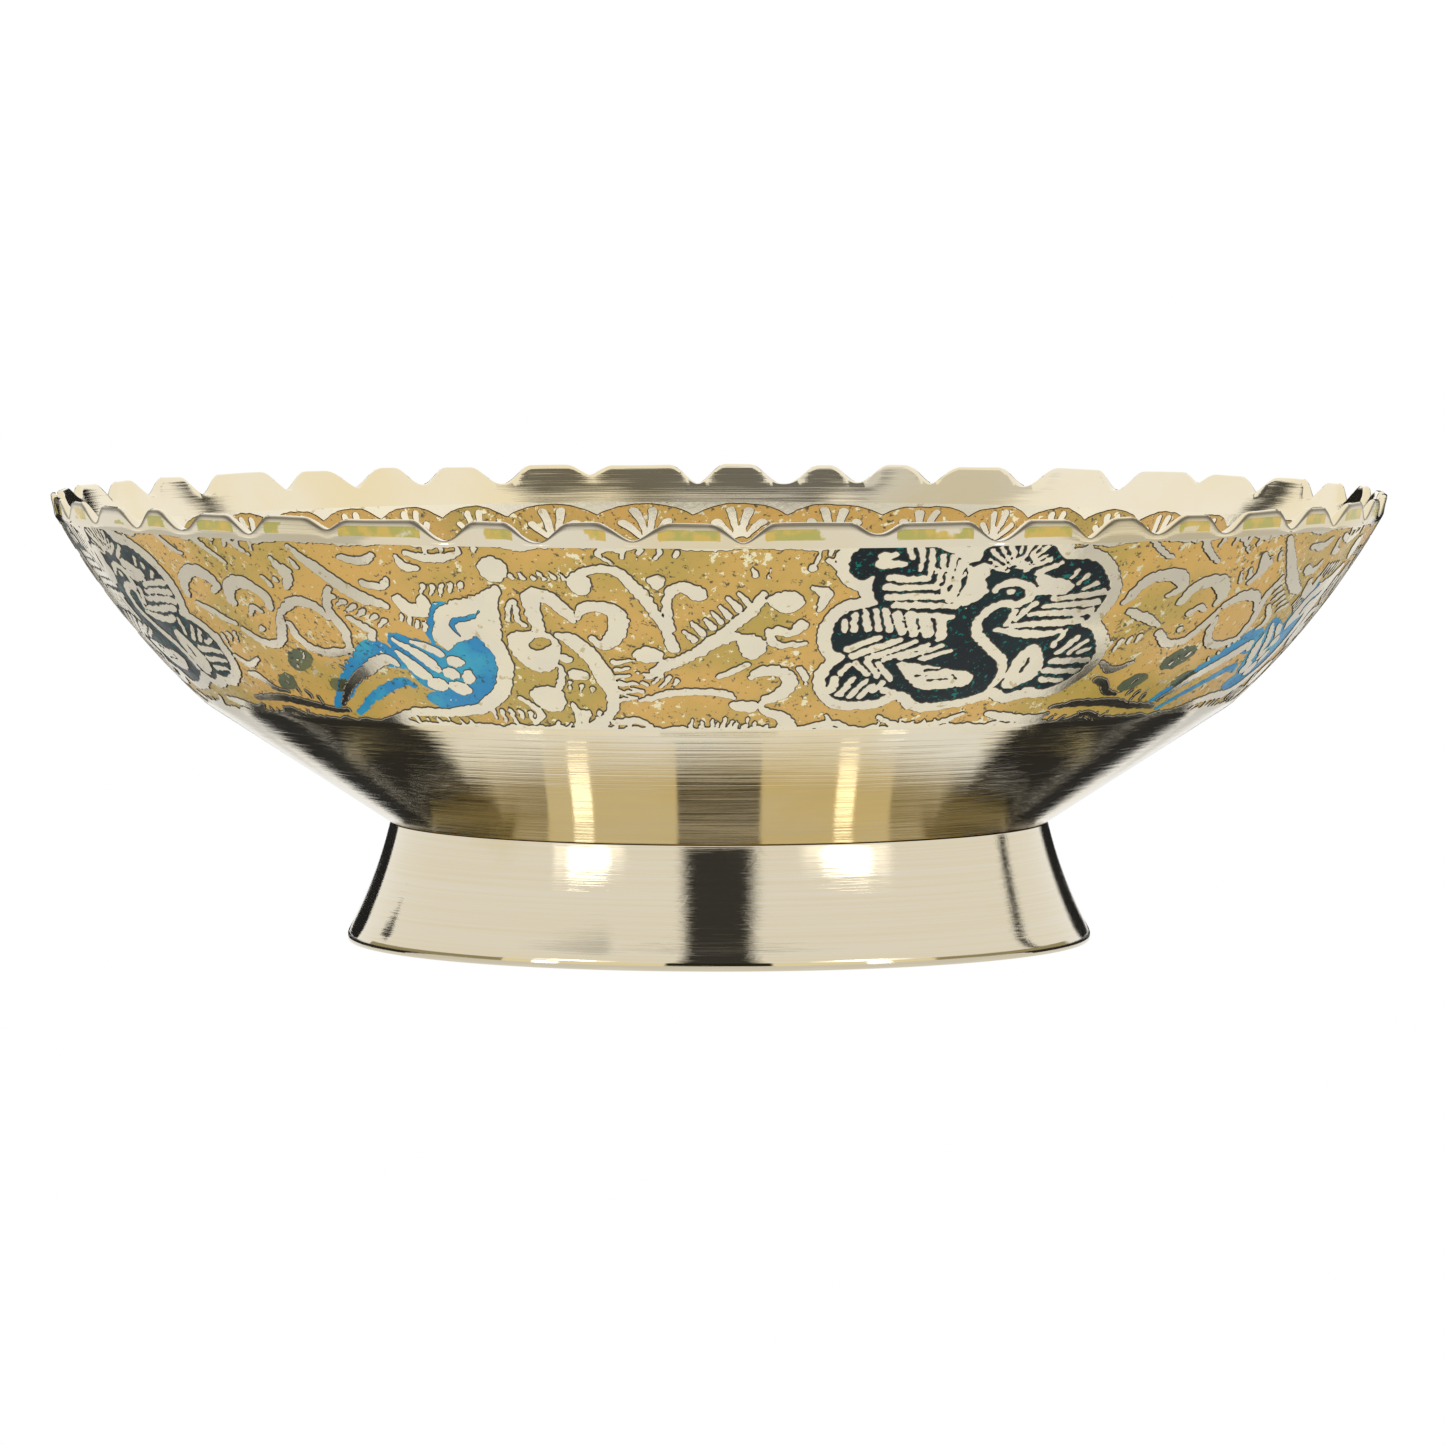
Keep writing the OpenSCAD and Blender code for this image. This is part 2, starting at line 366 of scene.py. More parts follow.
# White bars of the leaves round the peacock: (start, end, radius at the start, at the end)
PEACOCK_BARS = [
    # upper left leaf, above its vein
    ((25.2, 36.1), (25.7, 34), 0.32, 0.14), ((26.7, 36), (27.2, 32.2), 0.32, 0.16),
    ((28.3, 35.4), (28.6, 30.6), 0.3, 0.16), ((29.9, 34.4), (29.9, 29), 0.3, 0.16),
    ((31.4, 34.2), (31, 27.6), 0.45, 0.2), ((32.8, 33.2), (32.2, 26.6), 0.6, 0.35),
    # below it
    ((21.7, 34.6), (23.4, 34.9), 0.5, 0.25), ((21.6, 33.3), (24.6, 33), 0.75, 0.35),
    ((23.2, 30.7), (28.4, 30.5), 0.42, 0.3), ((22.8, 29.2), (30, 28.9), 0.42, 0.3),
    ((23.3, 27.4), (31.6, 27.2), 0.5, 0.35), ((24.4, 25.8), (33.4, 25.6), 0.42, 0.3),
    # middle left leaf, above its vein
    ((18, 21.2), (17.9, 23), 0.35, 0.3), ((19.5, 21.4), (19, 24.3), 0.35, 0.3),
    ((21.2, 21.5), (20.4, 25), 0.38, 0.28), ((22.8, 21.5), (22, 25.2), 0.38, 0.25),
    ((24.6, 21.3), (23.3, 25), 0.42, 0.3), ((26.4, 21), (25.2, 24.2), 0.5, 0.5),
    ((28.3, 20.7), (27, 24), 0.55, 0.6), ((30.3, 20.3), (29.2, 23.6), 0.6, 0.65),
    ((32.4, 19.6), (31.6, 23.2), 0.55, 0.7), ((26.6, 24.1), (33.5, 23.6), 0.3, 0.3),
    # below it
    ((18.8, 17.6), (23.2, 19.9), 0.5, 0.35), ((19.7, 16.2), (26.2, 19.5), 0.5, 0.35),
    ((22.4, 16), (28.6, 19), 0.42, 0.3), ((24.9, 15.8), (31, 18.3), 0.35, 0.25),
    ((27.4, 15.9), (33, 17.9), 0.35, 0.25), ((30.2, 15.5), (34.6, 17), 0.3, 0.25),
    # lower left leaf, both sides of its vein
    ((17.6, 9.7), (17.7, 12), 0.6, 0.5), ((19, 8.7), (20.6, 11.8), 0.42, 0.3),
    ((20.6, 8.2), (22.6, 11.2), 0.42, 0.3), ((22.4, 8.1), (24, 10.4), 0.4, 0.3),
    ((18.5, 13), (19.6, 14.6), 0.35, 0.25), ((20.4, 15), (22.6, 12.6), 0.38, 0.3),
    ((22.2, 15.2), (24.4, 12.2), 0.4, 0.3), ((24, 15), (26.4, 11.6), 0.4, 0.3),
    ((24.4, 9.3), (25.5, 11), 0.4, 0.3), ((26, 9.4), (28.6, 8.4), 0.5, 0.3),
    # upper right leaf
    ((44, 30), (48, 28.4), 0.85, 0.45), ((44.2, 28), (47.4, 27.6), 0.75, 0.4),
    ((43.2, 31.3), (45.8, 33), 0.35, 0.2), ((48.6, 31.3), (47.8, 29.8), 0.16, 0.1),
    ((50.2, 30.4), (49.2, 29), 0.16, 0.1), ((51.6, 29), (50.2, 28), 0.2, 0.12),
    # right leaf
    ((42, 21.6), (51.4, 22.2), 0.3, 0.5), ((44.2, 23.7), (52.6, 23.8), 0.3, 0.5),
    ((45.6, 25.1), (53, 25.4), 0.3, 0.42), ((46.4, 26.4), (53, 27.2), 0.25, 0.42),
    ((41.2, 21.9), (41.8, 24.4), 0.28, 0.32), ((42.2, 22.8), (44, 25.6), 0.28, 0.32),
    # lower right leaf
    ((50.4, 14.4), (55.9, 14.2), 0.5, 0.3), ((50, 12.4), (55.2, 12.2), 0.45, 0.25),
    ((50, 10.6), (53.6, 10.4), 0.4, 0.2), ((50.6, 16.2), (52.6, 18.9), 0.3, 0.25),
    ((52.2, 16), (54.2, 18.2), 0.28, 0.25), ((53.8, 15.8), (55.5, 16.6), 0.28, 0.22),
    ((49.2, 17.4), (50.2, 20.2), 0.25, 0.22),
]


def draw_peacock(sheet, land):
    """A peacock among leaves, in white lines on a dark ground. Returns the brass and the dark area."""
    area = sheet.blank()
    sheet.outline(area, PEACOCK_OUTLINE)
    land = without(both(land, area - 1.75), area)
    bars = sheet.blank()
    for start, end, r0, r1 in PEACOCK_BARS:
        sheet.stroke(bars, [start, end], [r0, r1])
    # brass between the upper leaf and the fan
    sheet.outline(bars, [(34.5, 32.4), (35.7, 32.8), (36.9, 31.6), (36.7, 30), (37.2, 28), (36.2, 26.6),
                         (34.4, 25.9), (32.8, 26.6), (33.6, 28.4), (34.2, 30), (34.1, 31.4)])
    # cuts in the arch of the upper leaf
    for i in range(5):
        sheet.stroke(bars, [(29.2 + 1.3 * i, 31.4 - 0.25 * i), (30 + 1.35 * i, 33.9 - 0.45 * i)], [0, 0.1])
    # fan of feathers over the head
    for i, lean in enumerate([158, 143, 129, 116, 104, 92, 81, 69, 57, 45, 33]):
        a = math.radians(lean)
        reach = 5.6 if 50 < lean < 130 else 4.6
        start = (40.2 + 1.2 * math.cos(a), 30.9 + 1.2 * math.sin(a))
        end = (40.2 + reach * math.cos(a), 30.9 + reach * math.sin(a))
        sheet.stroke(bars, [start, end], [0, 0.08 if i % 2 else 0.2])
    # light edge of the head and the neck
    sheet.stroke(bars, [(38.2, 28), (38.9, 29), (40.6, 29.7), (42.4, 28.7), (42.9, 26.8), (41.8, 25.6),
                        (40, 25.7), (38.4, 24.7), (37.4, 22.8), (37.6, 20.6), (39, 18.6), (41, 16.6),
                        (42.7, 14.4), (43.4, 12), (43, 9.8)],
                 [0.2, 0.35, 0.45, 0.5, 0.5, 0.5, 0.5, 0.5, 0.5, 0.5, 0.55, 0.6, 0.6, 0.5, 0.4])
    sheet.oval(bars, (40.3, 27.9), 0.42, 0.42)
    sheet.stroke(bars, [(40, 20.9), (43, 20.2), (47, 19.9), (49.2, 20.4)], [0.25, 0.5, 0.5, 0.3])
    # wing
    sheet.outline(bars, [(27.2, 14.6), (29.2, 14.5), (32, 14), (35, 13.4), (38.4, 12.6), (39.4, 11.2),
                         (38, 9.8), (35, 9.3), (32, 9.7), (29.6, 11.4)])
    # pale petal right of the breast
    sheet.outline(bars, [(44.8, 9), (44.4, 12), (44.9, 16), (46.4, 17.8), (47.8, 16.4), (48.9, 14.4),
                         (48.8, 11.6), (47.3, 9.8)])
    cuts = sheet.blank()
    for start, end, radius in [((31.4, 13.4), (34.6, 13.4), 0.3), ((32.4, 11.4), (36.6, 11.3), 0.28),
                               ((30.4, 12.3), (32, 12.4), 0.2), ((46.2, 12.8), (46.5, 15.2), 0.35),
                               ((26.2, 23), (27, 21.4), 0.18), ((28.4, 22.8), (29.1, 21.2), 0.18),
                               ((30.5, 22.6), (31.2, 21), 0.18), ((36.4, 12.2), (37.4, 10.8), 0.22)]:
        sheet.stroke(cuts, [start, end], [radius, radius * 0.5])
    return both(land, without(bars - 0.13, cuts)), area


def draw_bird(sheet, land):
    """A bird flying with its head turned up. Returns the brass and the blue area."""
    # brass border
    sheet.stroke(land, [(-30.4, 28.6), (-31.8, 25), (-32.3, 20), (-31.9, 15.5), (-32.7, 11.5), (-35, 8),
                        (-38.8, 5.3), (-43, 4.1), (-48, 3.9), (-52, 3.4), (-57, 1.6), (-62, 0.4)],
                 [0.7, 1, 1, 1.1, 1.15, 1.2, 1.2, 0.95, 0.85, 0.7, 0.6, 0.4])
    sheet.outline(land, [(-39.8, 16.6), (-42, 19), (-41.9, 22.4), (-40.4, 25.2), (-37.6, 26), (-34.4, 27),
                         (-30.6, 29), (-30.4, 26), (-31.4, 21), (-31.6, 17), (-33.2, 14), (-36, 15.5)])
    blue = sheet.blank()
    # tail, in two long feathers
    sheet.outline(blue, [(-67, 4), (-62.5, 9.6), (-57.6, 14.6), (-53.8, 17.9), (-50.6, 17.7),
                         (-49.4, 15.4), (-49.6, 13), (-54, 13.6), (-58.6, 9.8), (-63, 6)])
    sheet.stroke(blue, [(-63, 2.6), (-58.2, 6.2), (-54, 8.7), (-50.5, 10.2), (-49.2, 9.6)],
                 [0.3, 0.5, 0.6, 0.6, 0.4])
    # breast, belly, crest and face
    sheet.outline(blue, [(-40.4, 16), (-38.6, 18.4), (-36.4, 19.3), (-35, 19.9), (-34, 18.4), (-33.3, 15.2),
                         (-33.8, 12.2), (-35.6, 9.4), (-37.6, 7.5), (-39.6, 7.6), (-40.6, 9.6), (-40, 12)])
    sheet.outline(blue, [(-47.8, 6.7), (-46.4, 7.9), (-43.4, 7.5), (-39.6, 7.8), (-38, 7.2), (-39.4, 5.9),
                         (-43, 5.1), (-46.4, 5.3)])
    sheet.stroke(blue, [(-42.1, 18.4), (-42.2, 20.6), (-41.2, 23.4), (-39.6, 25.2), (-38, 25.6)],
                 [0.2, 0.4, 0.42, 0.4, 0.15])
    sheet.stroke(blue, [(-37.6, 19.9), (-38.3, 21.4), (-37.4, 22.8), (-35.6, 23.2), (-34.4, 23.9),
                        (-33.6, 24.8)], [0.25, 0.5, 0.55, 0.5, 0.4, 0.12])
    # the ground under the wing's feathers
    sheet.outline(blue, [(-49.4, 19.2), (-46, 19), (-42.8, 18), (-40.6, 16.6), (-38.4, 14.4), (-38.6, 9),
                         (-41, 7.6), (-46, 8.6), (-48.6, 12.6)])
    land = without(land, blue)
    # wing feathers
    sheet.strokes(land, [
        ([(-45.9, 18.5), (-43.9, 17.5), (-42.2, 16.2)], [0.3, 0.75, 0.65]),
        ([(-49, 18.9), (-46.6, 16.8), (-44.5, 14.5), (-43.4, 13)], [0.25, 0.72, 0.95, 0.6]),
        ([(-49.1, 16.6), (-47.9, 14), (-46.6, 12.2), (-45.7, 11.7)], [0.3, 0.85, 1.05, 0.6]),
    ])
    for middle, half_u, half_v, lean in [((-40.1, 14.9), 1.5, 1.05, 0), ((-41.5, 12.4), 1.3, 1.25, 0),
                                         ((-38.8, 11.7), 1.05, 1.4, -25), ((-44.7, 9.9), 1.85, 1.35, 0),
                                         ((-41, 9.3), 1.9, 1.35, 0)]:
        sheet.oval(land, middle, half_u, half_v, lean)
    sheet.oval(land, (-36.4, 20.8), 1.15, 1.15)
    # the light quill of the tail
    sheet.stroke(land, [(-65, 4.6), (-60.5, 9.2), (-56, 12.2), (-51.6, 14.9), (-50.2, 14)],
                 [0.3, 0.65, 0.9, 0.9, 0.5])
    return land, blue


def draw_scroll_flower(sheet, land):
    """The curled flower beside the bird, with its toothed stem."""
    eye = sheet.blank()
    disc = sheet.blank()
    sheet.outline(disc, [(-30.3, 19.8), (-30.2, 17), (-29.2, 14.9), (-27.4, 13.5), (-25.6, 13.2), (-24, 14.1),
                         (-23.1, 16.2), (-22.9, 19), (-24.2, 20.8), (-27, 20.9), (-29.2, 20.7)])
    sheet.oval(eye, (-25.6, 18.6), 1.95, 1.25, 15)
    land = both(land, without(disc, eye))
    sheet.strokes(land, [
        ([(-25.3, 21.4), (-25.6, 25), (-25.1, 27.6), (-22.8, 27), (-20.9, 24.6), (-20.2, 23)],
         [0.9, 1.1, 1.15, 1.1, 0.9, 0.4]),
        ([(-19.4, 23.6), (-18.6, 25.2), (-16.5, 25.8), (-14.3, 24.8), (-13.7, 22.5), (-14.6, 20),
          (-16.3, 18.5), (-17.9, 20)], [0.4, 0.8, 0.9, 1.1, 1.3, 1.25, 0.9, 0.4]),
        ([(-22.6, 20.2), (-20.8, 19.4), (-19, 17.2), (-17.5, 14), (-16.6, 10.8), (-16.2, 8), (-17, 4.8),
          (-19.6, 2.2), (-23, 0.9), (-28, 0.2)], [0.6, 1.1, 1.3, 1.4, 1.4, 1.1, 0.85, 0.8, 0.7, 0.5]),
        ([(-24.4, 10), (-23.5, 11.8), (-23.2, 14)], [0.5, 0.55, 0.3]),
        ([(-29.5, 23), (-28.8, 25.9), (-27.9, 26.2), (-28, 23.2), (-27.1, 22)], [0.3, 0.35, 0.3, 0.35, 0.3]),
        ([(-22.9, 6.6), (-22.6, 4), (-23.4, 1.5)], [0.3, 0.6, 0.5]),
        ([(-21.4, 4.6), (-21.6, 3), (-22.4, 1.6)], [0.5, 0.6, 0.3]),
        ([(-31.6, 7.6), (-29.9, 6), (-28.9, 4), (-30.4, 2)], [0.35, 0.5, 0.6, 0.4]),
    ])
    sheet.outline(land, [(-29.4, 8.4), (-28, 9.8), (-25.6, 10), (-24.1, 9.4), (-24, 7), (-25.2, 5),
                         (-27.4, 4.9), (-28.9, 6.4)])
    sheet.outline(land, [(-22.9, 16.6), (-21.4, 15.9), (-22.2, 14.9), (-23.2, 15.4)])
    sheet.outline(land, [(-22.2, 13.2), (-20, 13.4), (-19.4, 12.2), (-21.6, 11.6)])
    sheet.combs(land, [
        ((-15.1, 15.2), (-14.8, 7.6), 6, 8, 2.6, 0.42),
        ((-22.4, 11), (-19.2, 9.8), 3, 250, 1.4, 0.3),
        ((-22.2, 5), (-17.4, 4.4), 4, 252, 3.2, 0.38),
        ((-37, 5), (-30.6, 4.4), 5, 268, 2.6, 0.4),
        ((-27.4, 30.6), (-20.4, 30.6), 6, 120, 1.3, 0.3),
    ])
    return land


def draw_branch(sheet, land):
    """The straight branch with its blobs, leaves and teeth, between the flower and the peacock."""
    sheet.strokes(land, [
        ([(-19.6, 30.4), (-17.9, 31.8), (-15.5, 32.4), (-13.2, 31.8), (-11, 29.4), (-9.2, 26.4), (-7.8, 23.4),
          (-6.8, 20.4), (-6.2, 18.2)], [0.4, 0.6, 0.65, 0.7, 0.8, 0.8, 0.75, 0.8, 0.9]),
        ([(-6.2, 21.6), (-6.8, 25.3), (-6.2, 28.2), (-4.3, 29.1), (-2.5, 28.2)], [0.5, 0.5, 0.6, 0.9, 1.3]),
        ([(-10, 12.6), (-7.6, 14.6), (-5, 15.9), (-2.4, 17.6), (0, 20), (3, 23), (5.4, 26), (6.4, 28)],
         [0.6, 1, 0.9, 0.9, 0.85, 0.85, 0.8, 0.4]),
        ([(-2.4, 17), (0, 19.2), (2.4, 20.3), (4.4, 19.8)], [0.6, 0.75, 0.8, 0.7]),
        ([(13, 29.4), (14.7, 27.9), (14.3, 26), (13.9, 24.9)], [0.3, 0.85, 0.6, 0.2]),
        ([(7.2, 21.2), (7.9, 19.3), (9.8, 18.5), (12.6, 18.8)], [0.5, 0.6, 0.5, 0.35]),
        ([(8.5, 21.3), (10.4, 20.9), (12, 22.4)], [0.8, 0.6, 0.9]),
        ([(0, 12.3), (1.5, 13.1), (3, 13.9), (4.7, 14.9)], [0.35, 0.5, 0.5, 0.4]),
        ([(5.2, 12.2), (6.4, 13.3), (8.5, 13.6), (10.3, 12.8), (10.8, 10.5), (9.5, 8.6), (7.6, 7.4), (7, 6.2),
          (8.2, 5), (10.1, 3.8), (11.7, 2), (12.6, 0.4)],
         [0.4, 0.8, 0.95, 1, 1.05, 0.95, 0.7, 0.55, 0.75, 1, 1, 0.7]),
        ([(12.3, 14), (13.1, 12.2), (13.4, 10.9)], [0.5, 0.55, 0.25]),
        ([(-11.8, 7.4), (-8, 8.6), (-4.4, 9.3), (-1, 9.2), (1.4, 8.8), (2.5, 8)],
         [0.4, 0.65, 0.6, 0.6, 0.65, 0.4]),
        ([(-17, 2.4), (-14.2, 3), (-12, 2.6), (-10.8, 1.2)], [0.45, 0.7, 0.6, 0.4]),
        ([(14.6, 1.5), (17, 2), (19.4, 2.3), (21.4, 1.5)], [0.4, 0.6, 0.6, 0.4]),
        ([(13.4, 35.2), (12.9, 33.6), (12.5, 32.4)], [0.12, 0.25, 0.45]),
        ([(4.6, 32.6), (5, 31.2)], [0.2, 0.3]), ([(6.9, 32.2), (6.8, 31)], [0.2, 0.3]),
        ([(14.6, 34), (15.8, 32.6), (16.9, 30.4)], [0.4, 0.35, 0.25]),
        ([(17.6, 4.2), (18.4, 2.8)], [0.3, 0.35]),
        ([(-13.6, 36.2), (-15.4, 35.2), (-13.6, 33.4)], [0.45, 0.35, 0.15]),
    ])
    sheet.oval(land, (-18.4, 29.7), 1.65, 2, 10)
    sheet.oval(land, (-10, 16.6), 2.3, 1.5)
    sheet.outline(land, [(-9.3, 30.9), (-6.8, 31), (-7.9, 28.4)])
    sheet.outline(land, [(2.9, 19.8), (4.8, 20.6), (6.7, 19.4), (7, 17.8), (5.8, 16.2), (4.4, 16.1),
                         (3.3, 17.6)])
    sheet.outline(land, [(6.8, 27), (8.2, 28), (10, 28.6), (11.5, 28), (11.9, 26.6), (10.8, 25), (9.3, 24.7),
                         (8.1, 25.4)])
    sheet.outline(land, [(2.2, 6.9), (6.2, 7), (6, 5.3), (2.8, 5.2)])
    sheet.combs(land, [
        ((-3.2, 19.6), (4.2, 26.4), 7, 125, 2.6, 0.5),
        ((-9.6, 13.6), (-6, 11.6), 4, 235, 2.4, 0.36),
        ((-12.6, 8), (-9.8, 12.4), 4, 160, 1.8, 0.34),
        ((-4.4, 1.2), (4.6, 1.4), 6, 85, 2.2, 0.4),
    ])
    return land


def draw_side_scrolls(sheet, land):
    """Curls between the peacock and the next bird. Returns the brass and the dull green leaves."""
    sheet.strokes(land, [
        ([(57.5, 25.4), (58.8, 28.2), (61.5, 29.8), (64.3, 29.4), (65.5, 27.6), (64, 26.2)],
         [0.6, 0.9, 1, 1.1, 0.8, 0.4]),
        ([(66.9, 24.8), (67.8, 27), (70, 28.2), (72.6, 27.6), (74.2, 25.6), (73.8, 23.6)],
         [0.8, 1, 1.1, 1.1, 0.9, 0.4]),
        ([(58.8, 23.6), (61.8, 22), (64.8, 20.4)], [0.45, 0.7, 0.4]),
        ([(65.8, 19), (68.8, 16.9), (72, 17.1), (74, 20), (75.2, 22.6)], [0.6, 0.75, 0.7, 0.8, 0.5]),
        ([(76, 21), (76.2, 18.2), (78, 16.2), (81, 15.6), (84.6, 16.4)], [0.5, 0.7, 0.7, 0.75, 0.4]),
        ([(75.8, 23.4), (79, 25.2), (82, 24.6), (83.6, 22.4)], [0.5, 0.8, 0.8, 0.4]),
        ([(82, 35), (84.8, 32), (87.4, 29), (90.4, 26.4), (93.6, 25)], [0.4, 0.9, 0.95, 1, 0.6]),
        ([(57.4, 36.2), (59.6, 34), (61.6, 33)], [0.3, 0.35, 0.25]),
        ([(65.4, 36.2), (67.4, 33.6), (69.8, 31.8)], [0.5, 0.45, 0.25]),
        ([(71, 36.6), (73, 35), (75, 33.4)], [0.4, 0.35, 0.2]),
        ([(84.4, 16), (85.2, 20), (84.4, 24), (85.8, 28)], [0.4, 0.7, 0.7, 0.4]),
        ([(59, 13.6), (61.4, 12), (64.2, 13.2)], [0.4, 0.6, 0.3]),
        ([(59.6, 10), (61.4, 9.4), (63, 7.4), (65.6, 6.6)], [0.5, 0.7, 0.55, 0.3]),
        ([(44.4, 3.6), (48, 2.7), (52.4, 2), (55, 3)], [0.5, 0.85, 0.7, 0.3]),
        ([(26.4, 3.6), (29.4, 2), (33.4, 1.4), (37.6, 2), (40.4, 3.8)], [0.3, 0.5, 0.5, 0.5, 0.3]),
        ([(54.8, 4.4), (60, 5.1), (66, 4.7), (71.6, 3.6), (76.6, 3.2)], [0.3, 0.7, 0.75, 0.6, 0.4]),
        ([(59.6, 1.2), (62.4, 2.6), (65.4, 1.6)], [0.4, 0.5, 0.3]),
        ([(78.6, 27.6), (79.8, 30.2), (78.4, 32.6)], [0.4, 0.8, 0.4]),
        ([(69.4, 22.4), (70.8, 23.6), (72, 22.8)], [0.4, 0.5, 0.3]),
        ([(96, 26.4), (97.4, 24.6), (99.6, 24.8), (99.8, 26.6)], [0.8, 1.2, 1.3, 0.8]),
        ([(97.8, 34), (98.6, 32.2), (100.6, 32)], [0.3, 0.7, 0.4]),
        ([(99.6, 34.6), (103.4, 33.8), (107, 34.8)], [0.4, 0.7, 0.4]),
        ([(89.4, 33.4), (92.4, 33), (94.4, 34.2)], [0.4, 0.7, 0.4]),
        ([(91.6, 29), (94, 28.6), (95.4, 30.2)], [0.7, 0.6, 0.4]),
        ([(87, 22.6), (89.6, 20.2), (88.6, 17.6)], [0.4, 0.6, 0.4]),
    ])
    sheet.oval(land, (111.4, 32), 2.1, 2.1)
    sheet.oval(land, (69.8, 19.6), 0.5, 0.5)
    sheet.combs(land, [
        ((86, 26.6), (92.6, 22.4), 6, 215, 1.9, 0.4),
        ((76.2, 28), (82.2, 31.6), 5, 115, 1.8, 0.4),
        ((58.4, 17.6), (63, 18.4), 4, 262, 1.9, 0.36),
        ((66.4, 8), (72, 6), 4, 262, 1.6, 0.34),
        ((95.4, 22.4), (99.6, 20.4), 5, 75, 1.7, 0.36),
        ((100.4, 29), (106.4, 29.4), 5, 250, 1.9, 0.38),
        ((82, 12), (86, 15.6), 4, 140, 1.7, 0.34),
    ])
    leaves = sheet.blank()
    for middle, half_u, half_v, lean in [((73.6, 13.6), 3, 1.7, 32), ((67.4, 8.9), 2.4, 1.4, 30),
                                         ((78.6, 8.8), 2.3, 1.3, 20)]:
        sheet.oval(leaves, middle, half_u, half_v, lean)
    ribs = sheet.blank()
    for middle in [(72.4, 12.4), (74.6, 14), (67, 8.4), (78.4, 8.4)]:
        sheet.stroke(ribs, [middle, (middle[0] + 0.9, middle[1] + 1.4)], [0.16, 0.1])
    land = both(without(land, leaves - 0.2), ribs)
    return land, leaves


def draw_borders(sheet, land):
    """Plain brass above and below, its edge cut in shallow lobes with lace between."""
    u, v = sheet.DU, sheet.DV
    top = 35.3 + 0.75 * np.abs(np.sin(math.pi * u / PERIOD * 11)) ** 0.5
    bottom = 1.45 + 0.35 * np.sin(56 * math.pi * u / PERIOD) * np.sin(14 * math.pi * u / PERIOD)
    land = both(land, top - v)
    land = both(land, v - bottom)
    for u0 in np.arange(-54, 57, 27):
        sheet.comb(land, (u0, 1.2), (u0 + 12, 1.2), 7, 80 + 25 * math.sin(u0), 1.6, 0.34)
        sheet.comb(land, (u0 + 15, 35.6), (u0 + 22, 35.6), 4, 262 + 12 * math.sin(u0), 1.5, 0.32)
    return land


# ---------------------------------------------------------------- from drawing to relief

def fill_inside(sheet, field):
    """Cuts a drawing out of the sheet. Returns its points, its faces and the points on its edge."""
    index = {}
    points = []
    faces = []
    edge_points = set()
    cell_u, cell_v = sheet.u[1] - sheet.u[0], sheet.v[1] - sheet.v[0]
    f = np.where(np.abs(field) < 1e-6, -1e-6, field)
    inside = f < 0

    def corner(i, j):
        key = (i, j)
        if key not in index:
            index[key] = len(points)
            points.append((i, j))
            if i in (0, sheet.nu - 1) or j in (0, sheet.nv - 1):
                edge_points.add(index[key])
        return index[key]

    def crossing(i0, j0, i1, j1):
        key = (i0, j0, i1, j1) if (i0, j0) < (i1, j1) else (i1, j1, i0, j0)
        if key not in index:
            t = f[key[0], key[1]] / (f[key[0], key[1]] - f[key[2], key[3]])
            t = min(max(t, 0.06), 0.94)    # off the corners, so that no face is a sliver
            index[key] = len(points)
            points.append((key[0] + t * (key[2] - key[0]), key[1] + t * (key[3] - key[1])))
            edge_points.add(index[key])
        return index[key]

    count = (inside[:-1, :-1].astype(int) + inside[1:, :-1] + inside[1:, 1:] + inside[:-1, 1:])
    for i, j in zip(*np.nonzero(count)):
        ring = [(i, j), (i + 1, j), (i + 1, j + 1), (i, j + 1)]
        if count[i, j] == 4:
            faces.append([corner(*c) for c in ring])
            continue
        face = []
        for a, b in zip(ring, ring[1:] + ring[:1]):
            if inside[a]:
                face.append(corner(*a))
            if inside[a] != inside[b]:
                face.append(crossing(*a, *b))
        faces.append(face)
    points = np.array(points, float).reshape(-1, 2)
    points = np.column_stack([sheet.u[0] + points[:, 0] * cell_u, sheet.v[0] + points[:, 1] * cell_v])
    return points, faces, np.array(sorted(edge_points), int)


def slope(sheet, field, points):
    """Direction in which the field grows at each point."""
    gu, gv = np.gradient(field, sheet.u, sheet.v)
    cell_u, cell_v = sheet.u[1] - sheet.u[0], sheet.v[1] - sheet.v[0]
    i = np.clip(np.round((points[:, 0] - sheet.u[0]) / cell_u).astype(int), 0, sheet.nu - 1)
    j = np.clip(np.round((points[:, 1] - sheet.v[0]) / cell_v).astype(int), 0, sheet.nv - 1)
    g = np.column_stack([gu[i, j], gv[i, j]])
    return g / np.maximum(np.linalg.norm(g, axis=1), 1e-6)[:, None]


def raise_relief(name, sheet, field, wrap, top, bottom, skirt):
    """A closed plate of a drawing's inside, wrapped on the bowl between two depths.

    Its edge runs out by skirt on the way down, and the attribute "cut" is 1 there and 0 on top."""
    points, faces, rim = fill_inside(sheet, field)
    n = len(points)
    low = points.copy()
    low[rim] += skirt * slope(sheet, field, points[rim])
    verts = np.vstack([wrap(points, top), wrap(low, bottom)]) * MM
    directed = dict.fromkeys(edge for face in faces for edge in zip(face, face[1:] + face[:1]))
    walls = [[b, a, a + n, b + n] for a, b in directed if (b, a) not in directed]
    under = [[k + n for k in reversed(face)] for face in faces]
    obj = new_mesh(name, verts, [], faces + walls + under)
    carry(obj, "cut", np.repeat([0, 1], n))
    activate(obj)
    bpy.ops.object.mode_set(mode="EDIT")
    bpy.ops.mesh.select_all(action="SELECT")
    bpy.ops.mesh.normals_make_consistent(inside=False)
    bpy.ops.object.mode_set(mode="OBJECT")
    smooth_by_angle(obj, 28)
    return obj


# ---------------------------------------------------------------- where a drawing goes

